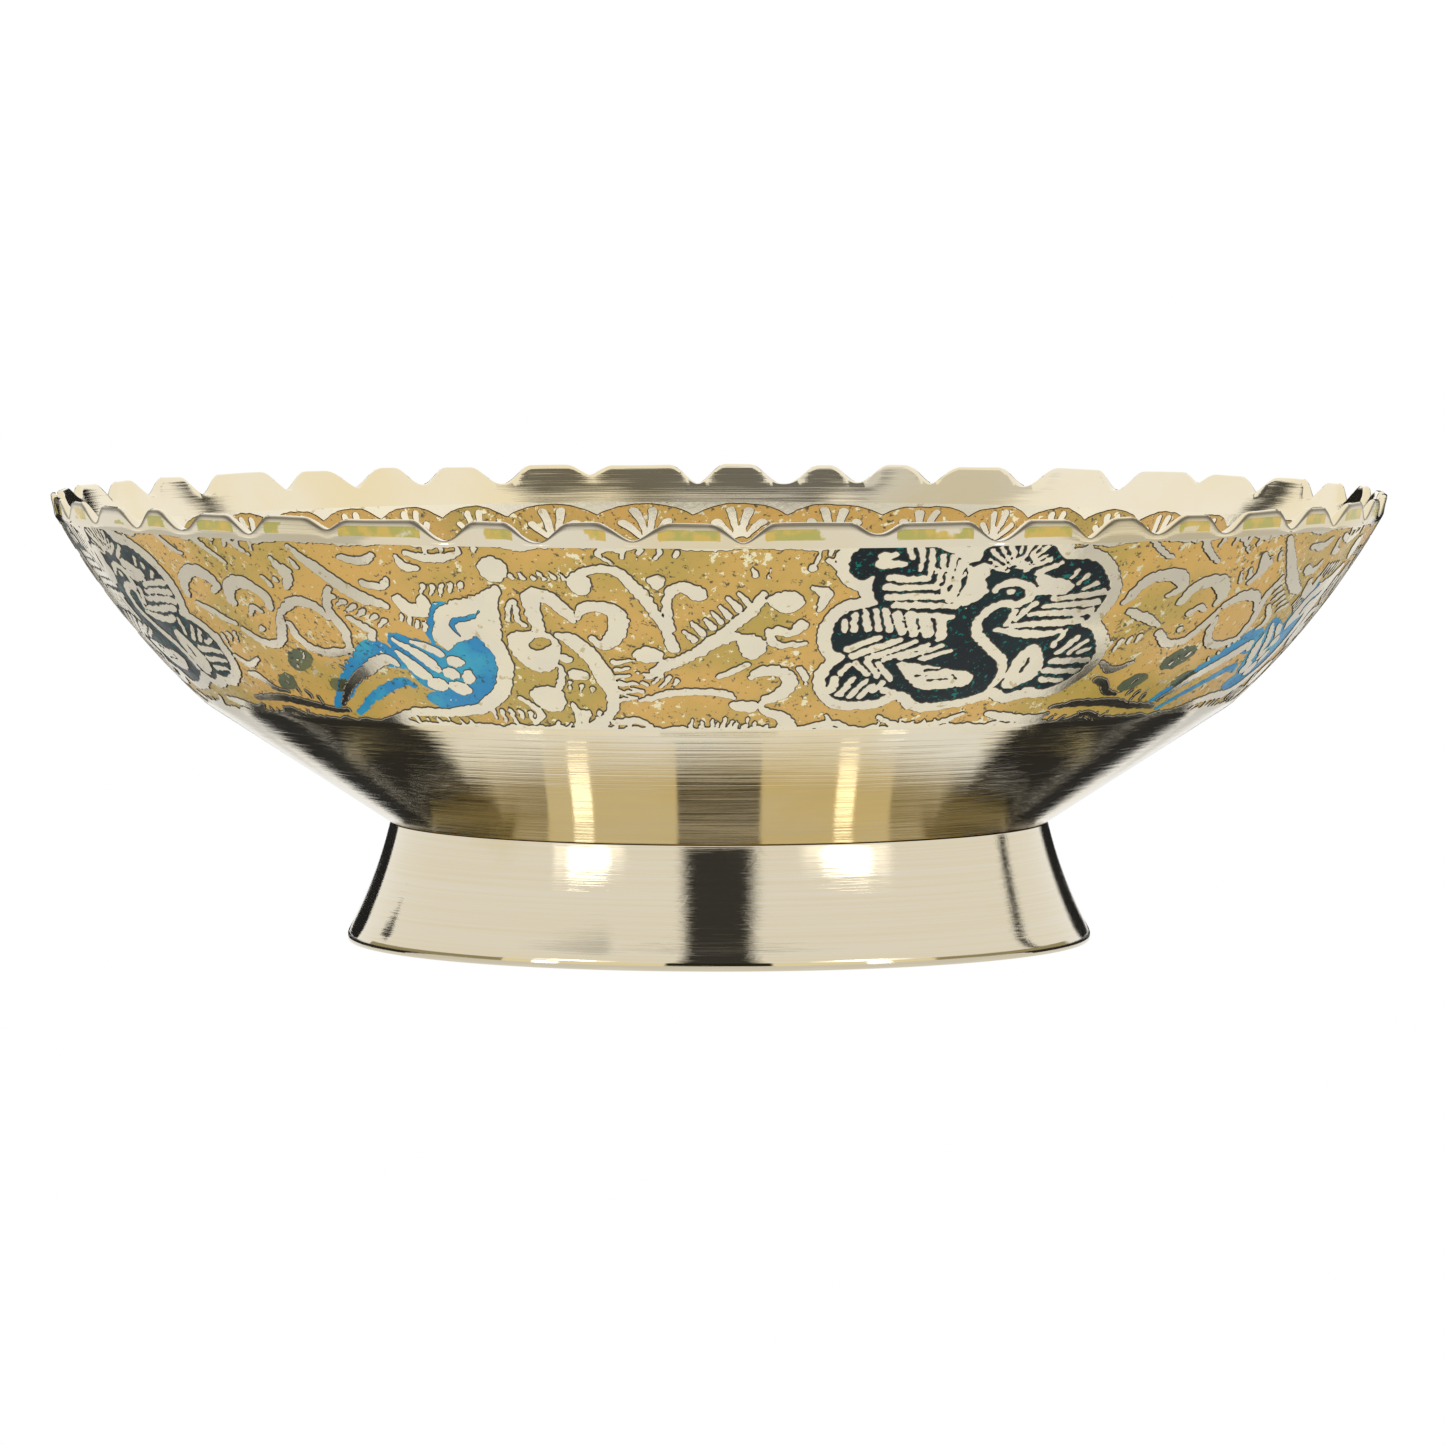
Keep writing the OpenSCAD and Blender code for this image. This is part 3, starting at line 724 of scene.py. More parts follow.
def turn_of(u):
    """Angle round the axis of a place along the drawing, in radians from +X."""
    marks = []
    for lap in (-1, 0, 1):
        for i in range(4):
            shift = i * PERIOD + lap * 4 * PERIOD
            marks.append((BIRD_U + shift, BIRD_TURNS[i] + 360 * lap))
            marks.append((PEACOCK_U + shift, PEACOCK_TURNS[i] + 360 * lap))
    places, turns = zip(*marks)
    return np.radians(np.interp(u, places, turns))


def on_sphere(turn, a, r):
    """Points on a sphere about the wall's centre, at angles round the axis and up from straight down."""
    return np.column_stack([r * np.sin(a) * np.cos(turn), r * np.sin(a) * np.sin(turn),
                            WALL_ZC - r * np.cos(a)])


def on_outer_wall(points, depth):
    """Up the wall, nought is at the corner."""
    return on_sphere(turn_of(points[:, 0]), CORNER_A + points[:, 1] / WALL_R, WALL_R - depth)


def on_inner_wall(points, depth):
    """The same inside, an eighth of a turn on, with nought at the foot of the inner engraving."""
    turn = turn_of(points[:, 0]) + math.pi / 4
    return on_sphere(turn, INNER_LOW_A + points[:, 1] / INNER_R, INNER_R + depth)


def on_floor(points, depth):
    """The floor's drawing lies as it is drawn, with its middle on the axis."""
    return np.column_stack([points, np.full(len(points), FLOOR_Z + WALL_T - depth)])


# ---------------------------------------------------------------- finishes

def new_finish(name):
    """A material with its node tree and its shader."""
    material = bpy.data.materials.new(name)
    material.use_nodes = True
    tree = material.node_tree
    return material, tree, tree.nodes["Principled BSDF"]


def feed(tree, value, socket):
    """Gives a socket a number or a colour, or links another node's output to it."""
    if isinstance(value, bpy.types.NodeSocket):
        tree.links.new(value, socket)
    else:
        socket.default_value = value


def look(tree, shader, colour, metallic, roughness):
    """Gives the shader its three main inputs."""
    for name, value in (("Base Color", colour), ("Metallic", metallic), ("Roughness", roughness)):
        feed(tree, value, shader.inputs[name])


def add(tree, kind, values=None, **settings):
    """A node with its settings and its inputs, which are numbers, colours or other nodes' outputs."""
    node = tree.nodes.new(kind)
    for key, value in settings.items():
        setattr(node, key, value)
    for key, value in (values or {}).items():
        feed(tree, value, node.inputs[key])
    return node


def where_on_object(tree):
    """Object coordinates, in metres."""
    return add(tree, "ShaderNodeTexCoord").outputs["Object"]


def carried(tree, name):
    """A value that the piece's own mesh carries."""
    return add(tree, "ShaderNodeAttribute", attribute_name=name).outputs["Fac"]


def place(tree, scale):
    """Object coordinates stretched by a scale for each axis."""
    return add(tree, "ShaderNodeMapping", {"Vector": where_on_object(tree), "Scale": scale}).outputs[0]


def noise(tree, scale, detail=3.0, stretch=(1, 1, 1), rough=0.5):
    values = {"Vector": place(tree, stretch), "Scale": scale, "Detail": detail, "Roughness": rough}
    return add(tree, "ShaderNodeTexNoise", values).outputs[0]


def ramp(tree, factor, low, high, from_value=0.0, to_value=1.0):
    """Runs from one value to the other as the factor goes from low to high."""
    values = {"Value": factor, "From Min": low, "From Max": high, "To Min": from_value, "To Max": to_value}
    return add(tree, "ShaderNodeMapRange", values, interpolation_type="SMOOTHSTEP").outputs[0]


def blend(tree, factor, a, b):
    """Mixes two colours."""
    return add(tree, "ShaderNodeMix", {0: factor, 6: a, 7: b}, data_type="RGBA").outputs[2]


def times(tree, a, b, operation="MULTIPLY"):
    """Multiplies two values, or puts them through another operation."""
    return add(tree, "ShaderNodeMath", {0: a, 1: b}, operation=operation).outputs[0]


def bump(tree, shader, height, distance, strength=1.0):
    values = {"Height": height, "Distance": distance, "Strength": strength}
    tree.links.new(add(tree, "ShaderNodeBump", values).outputs[0], shader.inputs["Normal"])


def scratches(tree, lean, scale):
    """Thin straight scratches running one way."""
    leaning = {"Vector": where_on_object(tree), "Rotation": lean}
    turned_to = add(tree, "ShaderNodeMapping", leaning).outputs[0]
    drawn = add(tree, "ShaderNodeMapping", {"Vector": turned_to, "Scale": (0.03, 1, 1)}).outputs[0]
    lines = add(tree, "ShaderNodeTexNoise", {"Vector": drawn, "Scale": scale, "Detail": 2.0}).outputs[0]
    return ramp(tree, lines, 0.62, 0.72)


PALE_BRASS = (0.76, 0.69, 0.54, 1)
WARM_BRASS = (0.74, 0.63, 0.40, 1)
DEEP_BRASS = (0.55, 0.45, 0.24, 1)
FOOT_PALE = (0.63, 0.57, 0.45, 1)
FOOT_WARM = (0.61, 0.53, 0.36, 1)
# Dark brown of painted shade: the line under the tabs' tops, and the engraving's cut edge, where it also
# stands for residue
PAINTED_SHADE_BROWN = (0.05, 0.035, 0.012, 1)
LEFT_OCHRE = (0.60, 0.42, 0.09, 1)
LEFT_OLIVE = (0.42, 0.38, 0.09, 1)
LEFT_TEAL = (0.02, 0.42, 0.40, 1)


def polished_brass():
    """The bowl: polished on a lathe, with enamel left on the flats of the tabs and a line of painted shade.

    The lathe's lines are deepest under the corner of the wall."""
    material, tree, shader = new_finish("polished_brass")
    tone = blend(tree, ramp(tree, noise(tree, 35, 4), 0.35, 0.7), PALE_BRASS, WARM_BRASS)
    on_tab = carried(tree, "tab")
    left = times(tree, ramp(tree, on_tab, 0.45, 0.6), ramp(tree, noise(tree, 130, 4), 0.44, 0.47))
    olive = blend(tree, ramp(tree, noise(tree, 400, 3), 0.4, 0.6), LEFT_OCHRE, LEFT_OLIVE)
    teal = times(tree, on_tab, ramp(tree, noise(tree, 90, 3), 0.69, 0.71))
    colour = blend(tree, left, tone, olive)
    colour = blend(tree, teal, colour, LEFT_TEAL)
    # Painted shade: a dark brown line under the tabs' tops, not metallic, stronger on the notches' shoulders
    filed = carried(tree, "filed")
    colour = blend(tree, times(tree, filed, 0.9), colour, PAINTED_SHADE_BROWN)
    enamel_and_painted_shade = times(tree, times(tree, left, teal, "MAXIMUM"), filed, "MAXIMUM")
    look(tree, shader, colour, ramp(tree, enamel_and_painted_shade, 0, 1, 1, 0),
         ramp(tree, noise(tree, 60, 4), 0.3, 0.75, 0.04, 0.1))
    lathe = noise(tree, 9, 4, (0.5, 0.5, 230), 0.7)
    height = add(tree, "ShaderNodeSeparateXYZ", {"Vector": where_on_object(tree)}).outputs["Z"]
    corner = CORNER_Z * MM
    depth = ramp(tree, height, corner - 0.0015, corner + 0.0015, 1, 0.35)
    bump(tree, shader, times(tree, lathe, depth), 0.00011, 0.6)
    return material


def spun_brass():
    """The foot: warmer, with lathe lines round it and slanting rubs from the polishing cloth."""
    material, tree, shader = new_finish("spun_brass")
    lathe = noise(tree, 12, 4, (1, 1, 260), 0.7)
    tone = blend(tree, ramp(tree, lathe, 0.3, 0.8), FOOT_PALE, FOOT_WARM)
    tone = blend(tree, ramp(tree, noise(tree, 40, 5), 0.6, 0.8), tone, DEEP_BRASS)
    look(tree, shader, tone, 1, ramp(tree, noise(tree, 50, 4), 0.3, 0.75, 0.03, 0.09))
    rubs = times(tree, scratches(tree, (0.3, 0.9, 0.4), 520), scratches(tree, (0.2, -0.8, 0.1), 610), "ADD")
    height = times(tree, lathe, times(tree, rubs, 0.1), "SUBTRACT")
    bump(tree, shader, height, 0.00002, 0.7)
    return material


def engraved_brass():
    """What the graver left: bright on top, painted shade and residue in the cut edge, enamel specks rubbed
    in.
    """
    material, tree, shader = new_finish("engraved_brass")
    cut = carried(tree, "cut")
    tone = blend(tree, ramp(tree, noise(tree, 120, 4), 0.35, 0.7), PALE_BRASS, (0.80, 0.73, 0.54, 1))
    rubbed = times(tree, ramp(tree, noise(tree, 700, 4), 0.63, 0.70), 0.55)
    tone = blend(tree, rubbed, tone, (0.42, 0.30, 0.08, 1))
    # The cut edge is painted shade in dark brown and is not metallic. It also stands for residue in the cut
    look(tree, shader, blend(tree, ramp(tree, cut, 0, 0.12), tone, PAINTED_SHADE_BROWN),
         ramp(tree, cut, 0, 0.12, 1, 0), ramp(tree, noise(tree, 90, 3), 0.3, 0.7, 0.12, 0.26))
    bump(tree, shader, noise(tree, 900, 3), 0.00004, 0.5)
    return material


def enamel(name, colour, second, speck, flecks, grain, gloss):
    """Lacquer enamel rubbed flat: two tones, specks, and flecks where the brass shows through.

    The brass shows where a noise passes flecks, so a high number leaves less of it."""
    material, tree, shader = new_finish(name)
    tone = blend(tree, ramp(tree, noise(tree, grain, 4), 0.4, 0.65), colour, second)
    crowd = times(tree, ramp(tree, noise(tree, 90, 3), 0.35, 0.65), 0.06)
    dots = times(tree, noise(tree, 1150, 3, rough=0.7), crowd, "ADD")
    tone = blend(tree, ramp(tree, dots, 0.62, 0.68), tone, speck)
    bare = ramp(tree, times(tree, noise(tree, 620, 4, rough=0.65), crowd, "ADD"), flecks, flecks + 0.03)
    look(tree, shader, blend(tree, bare, tone, (0.85, 0.78, 0.52, 1)), bare,
         ramp(tree, noise(tree, 200, 3), 0.3, 0.7, 0.28, 0.5))
    shader.inputs["Specular IOR Level"].default_value = gloss
    bump(tree, shader, noise(tree, 1100, 4), 0.00006, 0.6)
    return material


def grey_solder():
    material, tree, shader = new_finish("grey_solder")
    tone = blend(tree, ramp(tree, noise(tree, 160, 4), 0.35, 0.7), (0.34, 0.33, 0.31, 1),
                 (0.14, 0.13, 0.11, 1))
    look(tree, shader, tone, 0.9, ramp(tree, noise(tree, 90, 3), 0.3, 0.7, 0.35, 0.6))
    bump(tree, shader, noise(tree, 260, 4), 0.0004, 0.8)
    return material


# ---------------------------------------------------------------- the turned pieces

def notch_depth(turn):
    """How deep the rim is filed at an angle. Notches with soft shoulders, no two quite alike."""
    deepest = 0
    at = FIRST_NOTCH
    for i, width in enumerate(TAB_WIDTHS):
        light = i in LIGHT_NOTCHES
        away = abs(math.radians((turn - at + 180) % 360 - 180)) * RIM_R
        half = (NOTCH_HALF_LIGHT if light else NOTCH_HALF) + 0.5 * math.sin(2.4 * i)
        lean = 1 + 0.2 * math.sin(1.7 * i)
        x = away / half
        if x < 1:
            deep = (NOTCH_LIGHT if light else NOTCH_DEEP) * (1.03 + 0.06 * math.sin(5 * i))
            deepest = max(deepest, deep * (0.5 + 0.5 * math.cos(math.pi * x ** lean)))
        at += width
    return deepest


def bowl_section():
    """From the middle of the underside, out and up, over the rim and back down the inside."""
    bend_a = math.acos((WALL_ZC - TAB_Z) / WALL_R)
    outside = [(0, FLOOR_Z), (12, FLOOR_Z)]
    outside += arc(FLOOR_R, FLOOR_Z + BLEND_R, BLEND_R, 0, CONE_A, 8)
    outside += [(CORNER_R - 0.9 * math.cos(CONE_A), CORNER_Z - 0.9 * math.sin(CONE_A))]
    outside += arc(0, WALL_ZC, WALL_R, CORNER_A + 0.004, BAND_LOW_A, 1)
    outside += arc(0, WALL_ZC, WALL_R - CUT, BAND_LOW_A, BAND_TOP_A, 8)
    outside += arc(0, WALL_ZC, WALL_R, BAND_TOP_A, bend_a - 0.0015, 1)
    lip = [(TAB_R + 0.05, TAB_Z + 0.15), (TAB_R + TAB_LEAN * 0.3, TAB_Z + TAB_H * 0.3),
           (TAB_R + TAB_LEAN * 0.6, TAB_Z + TAB_H * 0.6), (RIM_R - 0.11, RIM_Z - 0.75),
           (RIM_R - 0.09, PAINTED_SHADE_LINE), (RIM_R - 0.06, RIM_Z - 0.3), (RIM_R - 0.2, RIM_Z - 0.07),
           (RIM_R - 0.5, RIM_Z), (RIM_R - 0.82, RIM_Z - 0.09), (RIM_R - 1.1, RIM_Z - 0.4),
           (RIM_R - LIP_T, RIM_Z - 0.8)]
    bend_in = math.acos((WALL_ZC - INNER_BEND_Z) / INNER_R)
    inside = arc(0, WALL_ZC, INNER_R, bend_in, INNER_TOP_A, 2)
    inside += arc(0, WALL_ZC, INNER_R + CUT, INNER_TOP_A, INNER_LOW_A, 8)
    inside += arc(0, WALL_ZC, INNER_R, INNER_LOW_A, CORNER_A + 0.012, 2)
    inside += arc(FLOOR_R, FLOOR_Z + BLEND_R, BLEND_R - WALL_T, CONE_A, 0, 8)
    top = FLOOR_Z + WALL_T
    inside += [(GROUND_R, top), (GROUND_R, top - CUT), (12, top - CUT), (0, top - CUT)]
    return outside + lip + inside


def file_notches(obj):
    """Lowers the rim between the tabs, each face along its own slope, so that the faces stay true."""
    low = TAB_Z - 0.5
    bend = math.sqrt(INNER_R**2 - (WALL_ZC - INNER_BEND_Z)**2)
    lean_in = (RIM_R - LIP_T - bend) / (RIM_Z - TAB_Z - 0.4)
    depths = {}
    for vert in obj.data.vertices:
        x, y, z = vert.co / MM
        radius = math.hypot(x, y)
        if z <= low or radius < RIM_R - 4:
            continue
        turn = math.degrees(math.atan2(y, x))
        key = round(turn, 2)
        if key not in depths:
            depths[key] = notch_depth(turn) + 0.1 + 0.1 * math.sin(math.radians(turn * 23))
        share = (z - low) / (RIM_Z - low)
        inward = min(1, max(0, (RIM_R - radius) / LIP_T))
        lean = TAB_LEAN / TAB_H + (lean_in - TAB_LEAN / TAB_H) * inward
        dent = 1 - lean * depths[key] * share / radius
        vert.co = Vector((x * dent, y * dent, z - depths[key] * share)) * MM


def make_bowl(material):
    obj = spin("spun_bowl", bowl_section(), RIM_STEPS, closed=False)
    on_tab, filed = [], []
    for vert in obj.data.vertices:
        x, y, z = vert.co / MM
        outside = math.hypot(x, y) > TAB_R + 0.1
        turn = math.degrees(math.atan2(y, x))
        painted = outside and TAB_Z + 0.5 < z < RIM_Z - 0.8
        on_tab.append(float(painted and notch_depth(turn) < 0.5))
        # Painted shade: a dark line round the outside under the tabs' tops, stronger above its middle and
        # where the notches' shoulders fall steeply
        mark = 0.0
        if outside and abs(z - PAINTED_SHADE_LINE) < 0.26:
            steep = abs(notch_depth(turn + 0.4) - notch_depth(turn - 0.4))
            mark = min(1, (0.4 if z < PAINTED_SHADE_LINE - 0.1 else 0.9) + 0.8 * steep)
        filed.append(mark)
    file_notches(obj)
    for name, values in (("tab", on_tab), ("filed", filed)):
        carry(obj, name, values)
    smooth_by_angle(obj, 24)
    finish_piece(obj, material, "bowl_brass", "bowl")


def make_foot(material):
    """Flared ring standing on an upright toe."""
    toe_top = Vector((FOOT_R, TOE_H))
    chord = Vector((SEAT_R, SEAT_Z)) - toe_top
    across = Vector((chord.y, -chord.x)).normalized()
    centre = toe_top + chord / 2 + across * math.sqrt(FLARE_R ** 2 - (chord.length / 2) ** 2)

    def flare(radius, z):
        return centre.x - math.sqrt(radius ** 2 - (centre.y - z) ** 2)

    def seat(r):
        return SEAT_Z + (r - SEAT_R) * math.tan(CONE_A) - 0.02

    top_r = flare(FLARE_R, SEAT_Z - 0.3)
    inner_r = SEAT_R - FOOT_T
    outer = [(flare(FLARE_R, z), z) for z in np.linspace(TOE_H + 0.25, SEAT_Z - 0.3, 14)]
    top = [(top_r - 0.03, SEAT_Z - 0.12), (top_r - 0.22, seat(top_r - 0.22)),
           (inner_r + 0.3, seat(inner_r + 0.3))]
    inner = [(flare(FLARE_R + FOOT_T, z), z) for z in np.linspace(seat(inner_r) - 0.1, 0.25, 12)]
    toe = [(flare(FLARE_R + FOOT_T, 0) + 0.25, 0), (FOOT_R - 0.35, 0), (FOOT_R - 0.1, 0.1), (FOOT_R, 0.35),
           (FOOT_R, TOE_H - 0.2)]
    obj = spin("flared_foot", outer + top + inner + toe, 480)
    smooth_by_angle(obj, 40)
    finish_piece(obj, material, "foot_brass", "foot_ring")


def make_ground(name, radius, low_a, high_a, inward, material, node):
    """Ring of ochre enamel lying in the cut-away wall."""
    face = radius + inward * LOW
    back = radius + inward * GROUND_BACK
    section = arc(0, WALL_ZC, face, low_a, high_a, 14) + arc(0, WALL_ZC, back, high_a, low_a, 14)
    obj = spin(name, section, 720)
    smooth_by_angle(obj, 40)
    finish_piece(obj, material, "ochre_enamel", node)


# ---------------------------------------------------------------- the engraving, laid on

def engrave_outside(brass, blue, dark_green, dull_green):
    """Four sheets round the wall. The hand wavers, so no two birds are quite alike."""
    for i in range(4):
        start = (i - 0.5) * PERIOD
        sheet = Sheet(start, start + PERIOD, BAND_V0, BAND_V1, CELL, 0.16, 3)
        land = draw_branch(sheet, draw_scroll_flower(sheet, sheet.blank()))
        land, leaves = draw_side_scrolls(sheet, land)
        land = draw_borders(sheet, land)
        land, bird = draw_bird(sheet, land)
        land, peacock = draw_peacock(sheet, land)
        ragged = 0.1 * sheet.waver(91, 1.6) + 0.1 * sheet.waver(17, 0.8)
        obj = raise_relief(f"engraving_{i + 1}", sheet, land + ragged, on_outer_wall, 0, PLATE_BACK, 0.55)
        finish_piece(obj, brass, "bowl_brass")
        for field, name, material, slot, nodes in [
            (bird, "blue_bird", blue, "blue_enamel", [f"bluebird_enamel_{i + 1}"]),
            (peacock, "peacock_leaves", dark_green, "peacock_enamel", [f"peacock_enamel_{i + 1}"]),
            (leaves, "dull_leaves", dull_green, "green_enamel", []),
        ]:
            patch = raise_relief(f"{name}_{i + 1}", sheet, field - 0.2 + ragged, on_outer_wall,
                                 PATCH_TOP, PATCH_BACK, 0.03)
            finish_piece(patch, material, slot, *nodes)


def draw_arches(sheet, land):
    """Arches with rays in them, under the plain rim inside."""
    frieze = INNER_HIGH - ARCH_H
    pitch = PERIOD / ARCHES
    u, v = sheet.DU, sheet.DV
    land = both(np.maximum(land, v - frieze + 1.4), np.abs(v - frieze) - 0.4)
    across = u / pitch % 1 - 0.5
    land = both(land, INNER_HIGH - 0.2 - 2.2 * (2 * np.abs(across)) ** 2.4 - v)
    for k in range(ARCHES):
        middle = (k + 0.5) * pitch
        for lean, reach in [(128, 4.6), (101, 6), (79, 6), (52, 4.6)]:
            away = np.array([math.cos(math.radians(lean)), math.sin(math.radians(lean))])
            root = np.array([middle, frieze + 0.8])
            sheet.stroke(land, [root + 1.3 * away, root + reach * away], [0.32, 0.6])
    return land


def engrave_inside(brass, dull_green):
    """The arches, with the outer wall's vines again below them."""
    for i in range(4):
        start = (i - 0.5) * PERIOD
        sheet = Sheet(start, start + PERIOD, 0, INNER_HIGH, 1.2 * CELL, 0.2, 31)
        squeeze = (BAND_V1 - BAND_V0) / (INNER_HIGH - ARCH_H)
        sheet.DV *= squeeze
        land = draw_branch(sheet, draw_scroll_flower(sheet, sheet.blank()))
        land, leaves = draw_side_scrolls(sheet, land)
        land, _ = draw_bird(sheet, land)
        sheet.DV /= squeeze
        land = both(draw_arches(sheet, land), sheet.V - 0.8)
        ragged = 0.06 * sheet.waver(61, 1.4)
        obj = raise_relief(f"inner_engraving_{i + 1}", sheet, land + ragged, on_inner_wall,
                           0, PLATE_BACK, 0.25)
        finish_piece(obj, brass, "bowl_brass")


def engrave_floor(brass):
    """Brass left round the petals and leaves, with veins of brass in them."""
    top = GROUND_R + 0.001
    sheet = Sheet(-top, top, -top, top, CELL, 0, 5)
    k = FLOOR_R / 26    # the flower is drawn for a floor of radius 26
    x, y = sheet.U, sheet.V
    flower = np.hypot(x, y) - 4.2 * k
    leaves = sheet.blank()
    for i in range(8):
        a = i * math.pi / 4
        flower = both(flower, np.hypot(x - 11 * k * math.cos(a), y - 11 * k * math.sin(a)) - 3.4 * k)
        b = a + math.pi / 8
        leaves = both(leaves, np.hypot(x - 18.5 * k * math.cos(b), y - 18.5 * k * math.sin(b)) - 2.2 * k)
    gap = 0.8 * k
    land = both(np.maximum(flower - gap, -flower), np.maximum(leaves - gap, -leaves))
    for i in range(8):
        a = i * math.pi / 4
        for turn, r0, r1, width in [(a, 8.4, 13.2, 0.32), (a + 0.07, 11, 12.8, 0.2),
                                    (a - 0.07, 11, 12.8, 0.2), (a + math.pi / 8, 17.2, 20, 0.26),
                                    (a + 0.1, 15.6, 22, 0.3), (a - 0.1, 15.6, 22, 0.3)]:
            line = [(r * math.cos(turn), r * math.sin(turn)) for r in (r0, r1)]
            sheet.stroke(land, line, [width, width * 0.5])
    land = np.maximum(land, np.hypot(x, y) - GROUND_R)
    obj = raise_relief("floor_engraving", sheet, land, on_floor, 0, PLATE_BACK, 0.2)
    finish_piece(obj, brass, "bowl_brass")


# ---------------------------------------------------------------- floor, light and camera

WHITE = (1, 1, 1, 1)
CARDS_MIDDLE = 0.03       # height that the high cards stand round, in metres
CARD_STEPS = 12
FLOOR_CARD_STEPS = 24


def glow(name, colour, strength):
    material = bpy.data.materials.new(name)
    material.use_nodes = True
    tree = material.node_tree
    tree.nodes.clear()
    shine = add(tree, "ShaderNodeEmission", {"Color": colour, "Strength": strength})
    out = tree.nodes.new("ShaderNodeOutputMaterial")
    tree.links.new(shine.outputs[0], out.inputs[0])
    return material


def stage_card(name, rows, strength, colour):
    """A card through rows of points in metres. Only the brass sees it."""
    wide = len(rows[0])
    faces = [(j * wide + i, j * wide + i + 1, (j + 1) * wide + i + 1, (j + 1) * wide + i)
             for j in range(len(rows) - 1) for i in range(wide - 1)]
    obj = new_mesh(name, [point for row in rows for point in row], [], faces)
    obj.data.materials.append(glow(name + "_light", colour, strength))
    obj.visible_camera = False
    obj.visible_shadow = False


def card(name, turns, rises, strength, distance=1.7):
    """A card high round the bowl, in degrees from the front and up. It is dark at strength nought."""
    def point(a, e):
        return (distance * math.cos(e) * math.sin(a), -distance * math.cos(e) * math.cos(a),
                CARDS_MIDDLE + distance * math.sin(e))

    rows = [[point(a, e) for a in np.radians(np.linspace(*turns, CARD_STEPS + 1))]
            for e in np.radians(np.linspace(*rises, CARD_STEPS + 1))]
    stage_card(name, rows, strength, WHITE)


def floor_card(name, turns, radii, strength, heights=(0.3, 0.3), colour=WHITE):
    """A card round the foot, flat or upright, in degrees from the front and in mm."""
    angles = np.radians(np.linspace(*turns, FLOOR_CARD_STEPS + 1))
    inner, outer = [[(r * math.sin(a) * MM, -r * math.cos(a) * MM, z * MM) for a in angles]
                    for r, z in zip(radii, heights)]
    stage_card(name, [outer, inner], strength, colour)


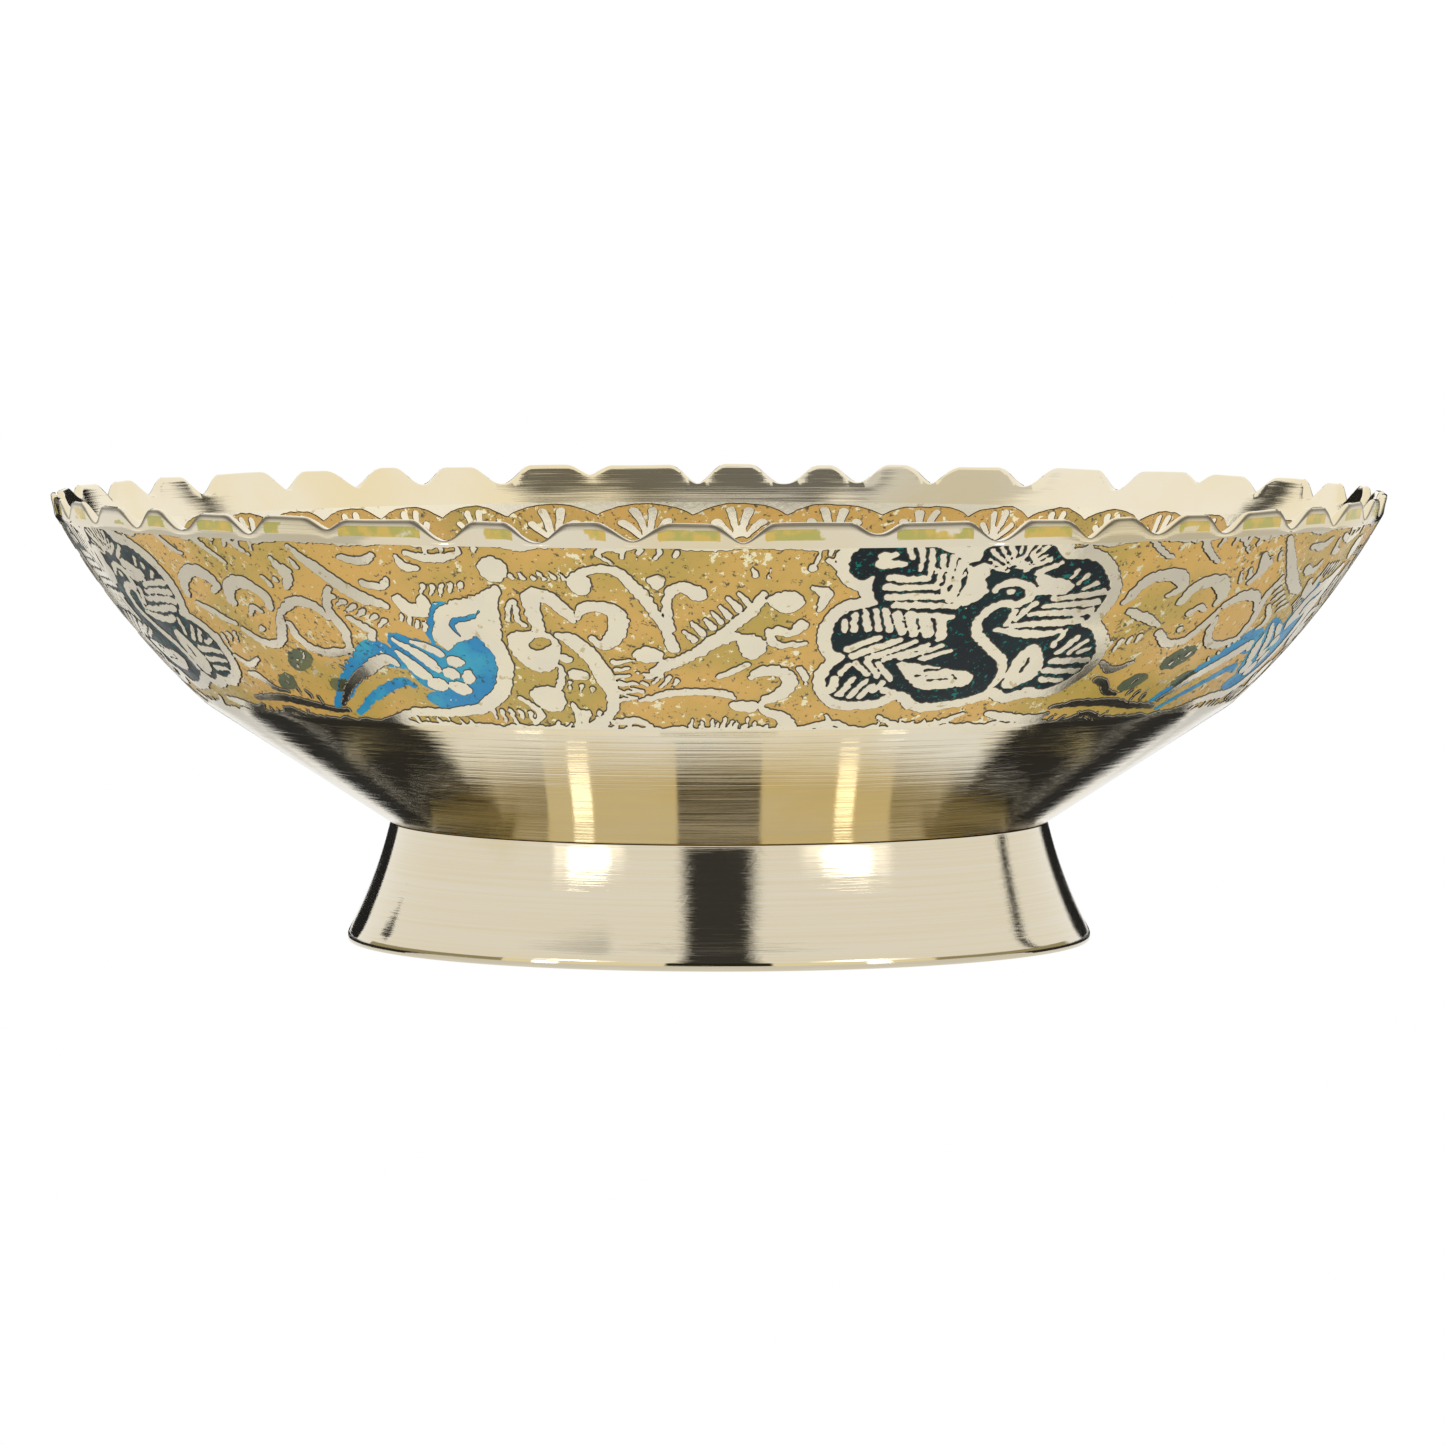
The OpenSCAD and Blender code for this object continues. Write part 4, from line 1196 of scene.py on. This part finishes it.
def set_studio():
    world = bpy.data.worlds.new("studio")
    bpy.context.scene.world = world
    bpy.context.scene.view_settings.view_transform = "Standard"
    world.use_nodes = True
    backdrop = world.node_tree.nodes["Background"].inputs
    backdrop["Color"].default_value = WHITE
    backdrop["Strength"].default_value = 1.12
    clear_selection()
    bpy.ops.mesh.primitive_plane_add(size=8)
    floor = bpy.context.active_object
    floor.name = "floor"
    floor.data.materials.append(glow("white_floor", WHITE, 1.0))
    for name, turns, rises, strength in [
        ("dark_strip", (-12.5, 12.5), (17, 50), 0.055),
        ("dark_overhead", (-41, 52), (48, 59.5), 0.2),
        ("dim_overhead", (-78, -41), (40, 64), 0.78),
        ("dark_right", (114, 118), (6, 24), 0.05),
        ("dark_far_right", (121, 128), (24, 34), 0.1),
        ("dark_far_left", (-137, -130), (14, 32), 0.1),
        ("lamp_left", (-54, -40), (19, 24.5), 6),
        ("lamp_right", (38, 54), (19, 24.5), 6),
    ]:
        card(name, turns, rises, strength)
    card("dark_overhead_middle", (-31, 27), (50, 64), 0.2, 1.75)
    card("glow_left", (-60, -34), (15.5, 24.5), 1.7, 1.8)
    card("glow_right", (30, 62), (15.5, 24.5), 1.7, 1.8)
    floor_card("lit_table", (-180, 180), (57, 900), 0.93)
    low = (0.4, 0.4)
    upright = (0.3, 6)
    half_upright = (0.3, 4)
    # Painted reflection: a low gold card round the foot stands in for the foot as the bowl's belly reflects
    # it
    floor_card("painted_foot_reflection", (-60, 60), (70, 70.1), 1.15, upright, (1, 0.93, 0.66, 1))
    for i, side in ((1, -1), (3, 1)):
        behind = (180 + side * 5, 180 + side * 30)
        card(f"dark_behind_{i}", behind, (-0.8, 14), 0.02)
        for name, turns, radii, strength in [
            ("far_table", behind, (300, 3000), 0.02),
            ("half_shade", (side * 50, side * 140), (112, 240), 0.66),
            ("shade", (side * 57, side * 92.9), (57, 101), 0.03),
            ("back_shade", (side * 93.8, side * 122), (57, 106), 0.03),
        ]:
            floor_card(f"{name}_{i}", turns, radii, strength, low)
        floor_card(f"warm_shade_{i}", (side * 42, side * 88), (69.5, 69.6), 0.42, upright,
                   (1, 0.9, 0.55, 1))
    # Painted reflections of the foot's dark strip and of its lamp highlights, as the bowl's belly reflects
    # them
    floor_card("painted_strip_reflection", (-9.5, 9.5), (69, 69.1), 0.03, upright, (1, 0.9, 0.6, 1))
    floor_card("painted_lamp_reflection_left", (-35, -30), (69, 69.1), 4.5, half_upright)
    floor_card("painted_lamp_reflection_right", (27.5, 32), (69, 69.1), 4.5, half_upright)


def set_camera():
    camera = bpy.data.objects.new("camera", bpy.data.cameras.new("camera"))
    bpy.context.scene.collection.objects.link(camera)
    bpy.context.scene.camera = camera
    camera.location = Vector((0.53, -1542.3, 136.1)) * MM
    aim = Vector((0.53, 0, 33)) * MM
    camera.rotation_euler = (aim - camera.location).to_track_quat("-Z", "Y").to_euler()
    camera.data.lens = 252.6
    camera.data.sensor_width = 36
    camera.data.clip_start = 0.05


# ---------------------------------------------------------------- the bowl

set_camera()
set_studio()

bowl_brass = polished_brass()
cut_brass = engraved_brass()
ochre = enamel("ochre_enamel", (0.62, 0.37, 0.085, 1), (0.46, 0.32, 0.06, 1),
               (0.10, 0.08, 0.03, 1), 0.635, 60, 0.5)
blue = enamel("blue_enamel", (0.015, 0.22, 0.44, 1), (0.03, 0.33, 0.47, 1),
              (0.01, 0.08, 0.14, 1), 0.73, 150, 0.35)
dark_green = enamel("peacock_enamel", (0.004, 0.008, 0.010, 1), (0.004, 0.016, 0.017, 1),
                    (0.0, 0.15, 0.12, 1), 0.78, 110, 0.2)
dull_green = enamel("dull_green_enamel", (0.08, 0.10, 0.05, 1), (0.14, 0.14, 0.05, 1),
                    (0.02, 0.03, 0.01, 1), 0.66, 120, 0.35)

make_bowl(bowl_brass)
make_foot(spun_brass())
make_ground("outer_ground", WALL_R, BAND_LOW_A, BAND_TOP_A, -1, ochre, "outer_ground_enamel")
make_ground("inner_ground", INNER_R, INNER_LOW_A, INNER_TOP_A, 1, ochre, "inner_ground_enamel")
engrave_outside(cut_brass, blue, dark_green, dull_green)
engrave_inside(cut_brass, dull_green)
engrave_floor(cut_brass)

for node, material in [("solder_fillet", grey_solder()), ("floor_ground_enamel", ochre),
                       ("floor_petals_enamel", blue), ("floor_leaves_enamel", dull_green)]:
    cad_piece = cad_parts[node]
    cad_piece.data.materials.clear()
    cad_piece.data.materials.append(material)
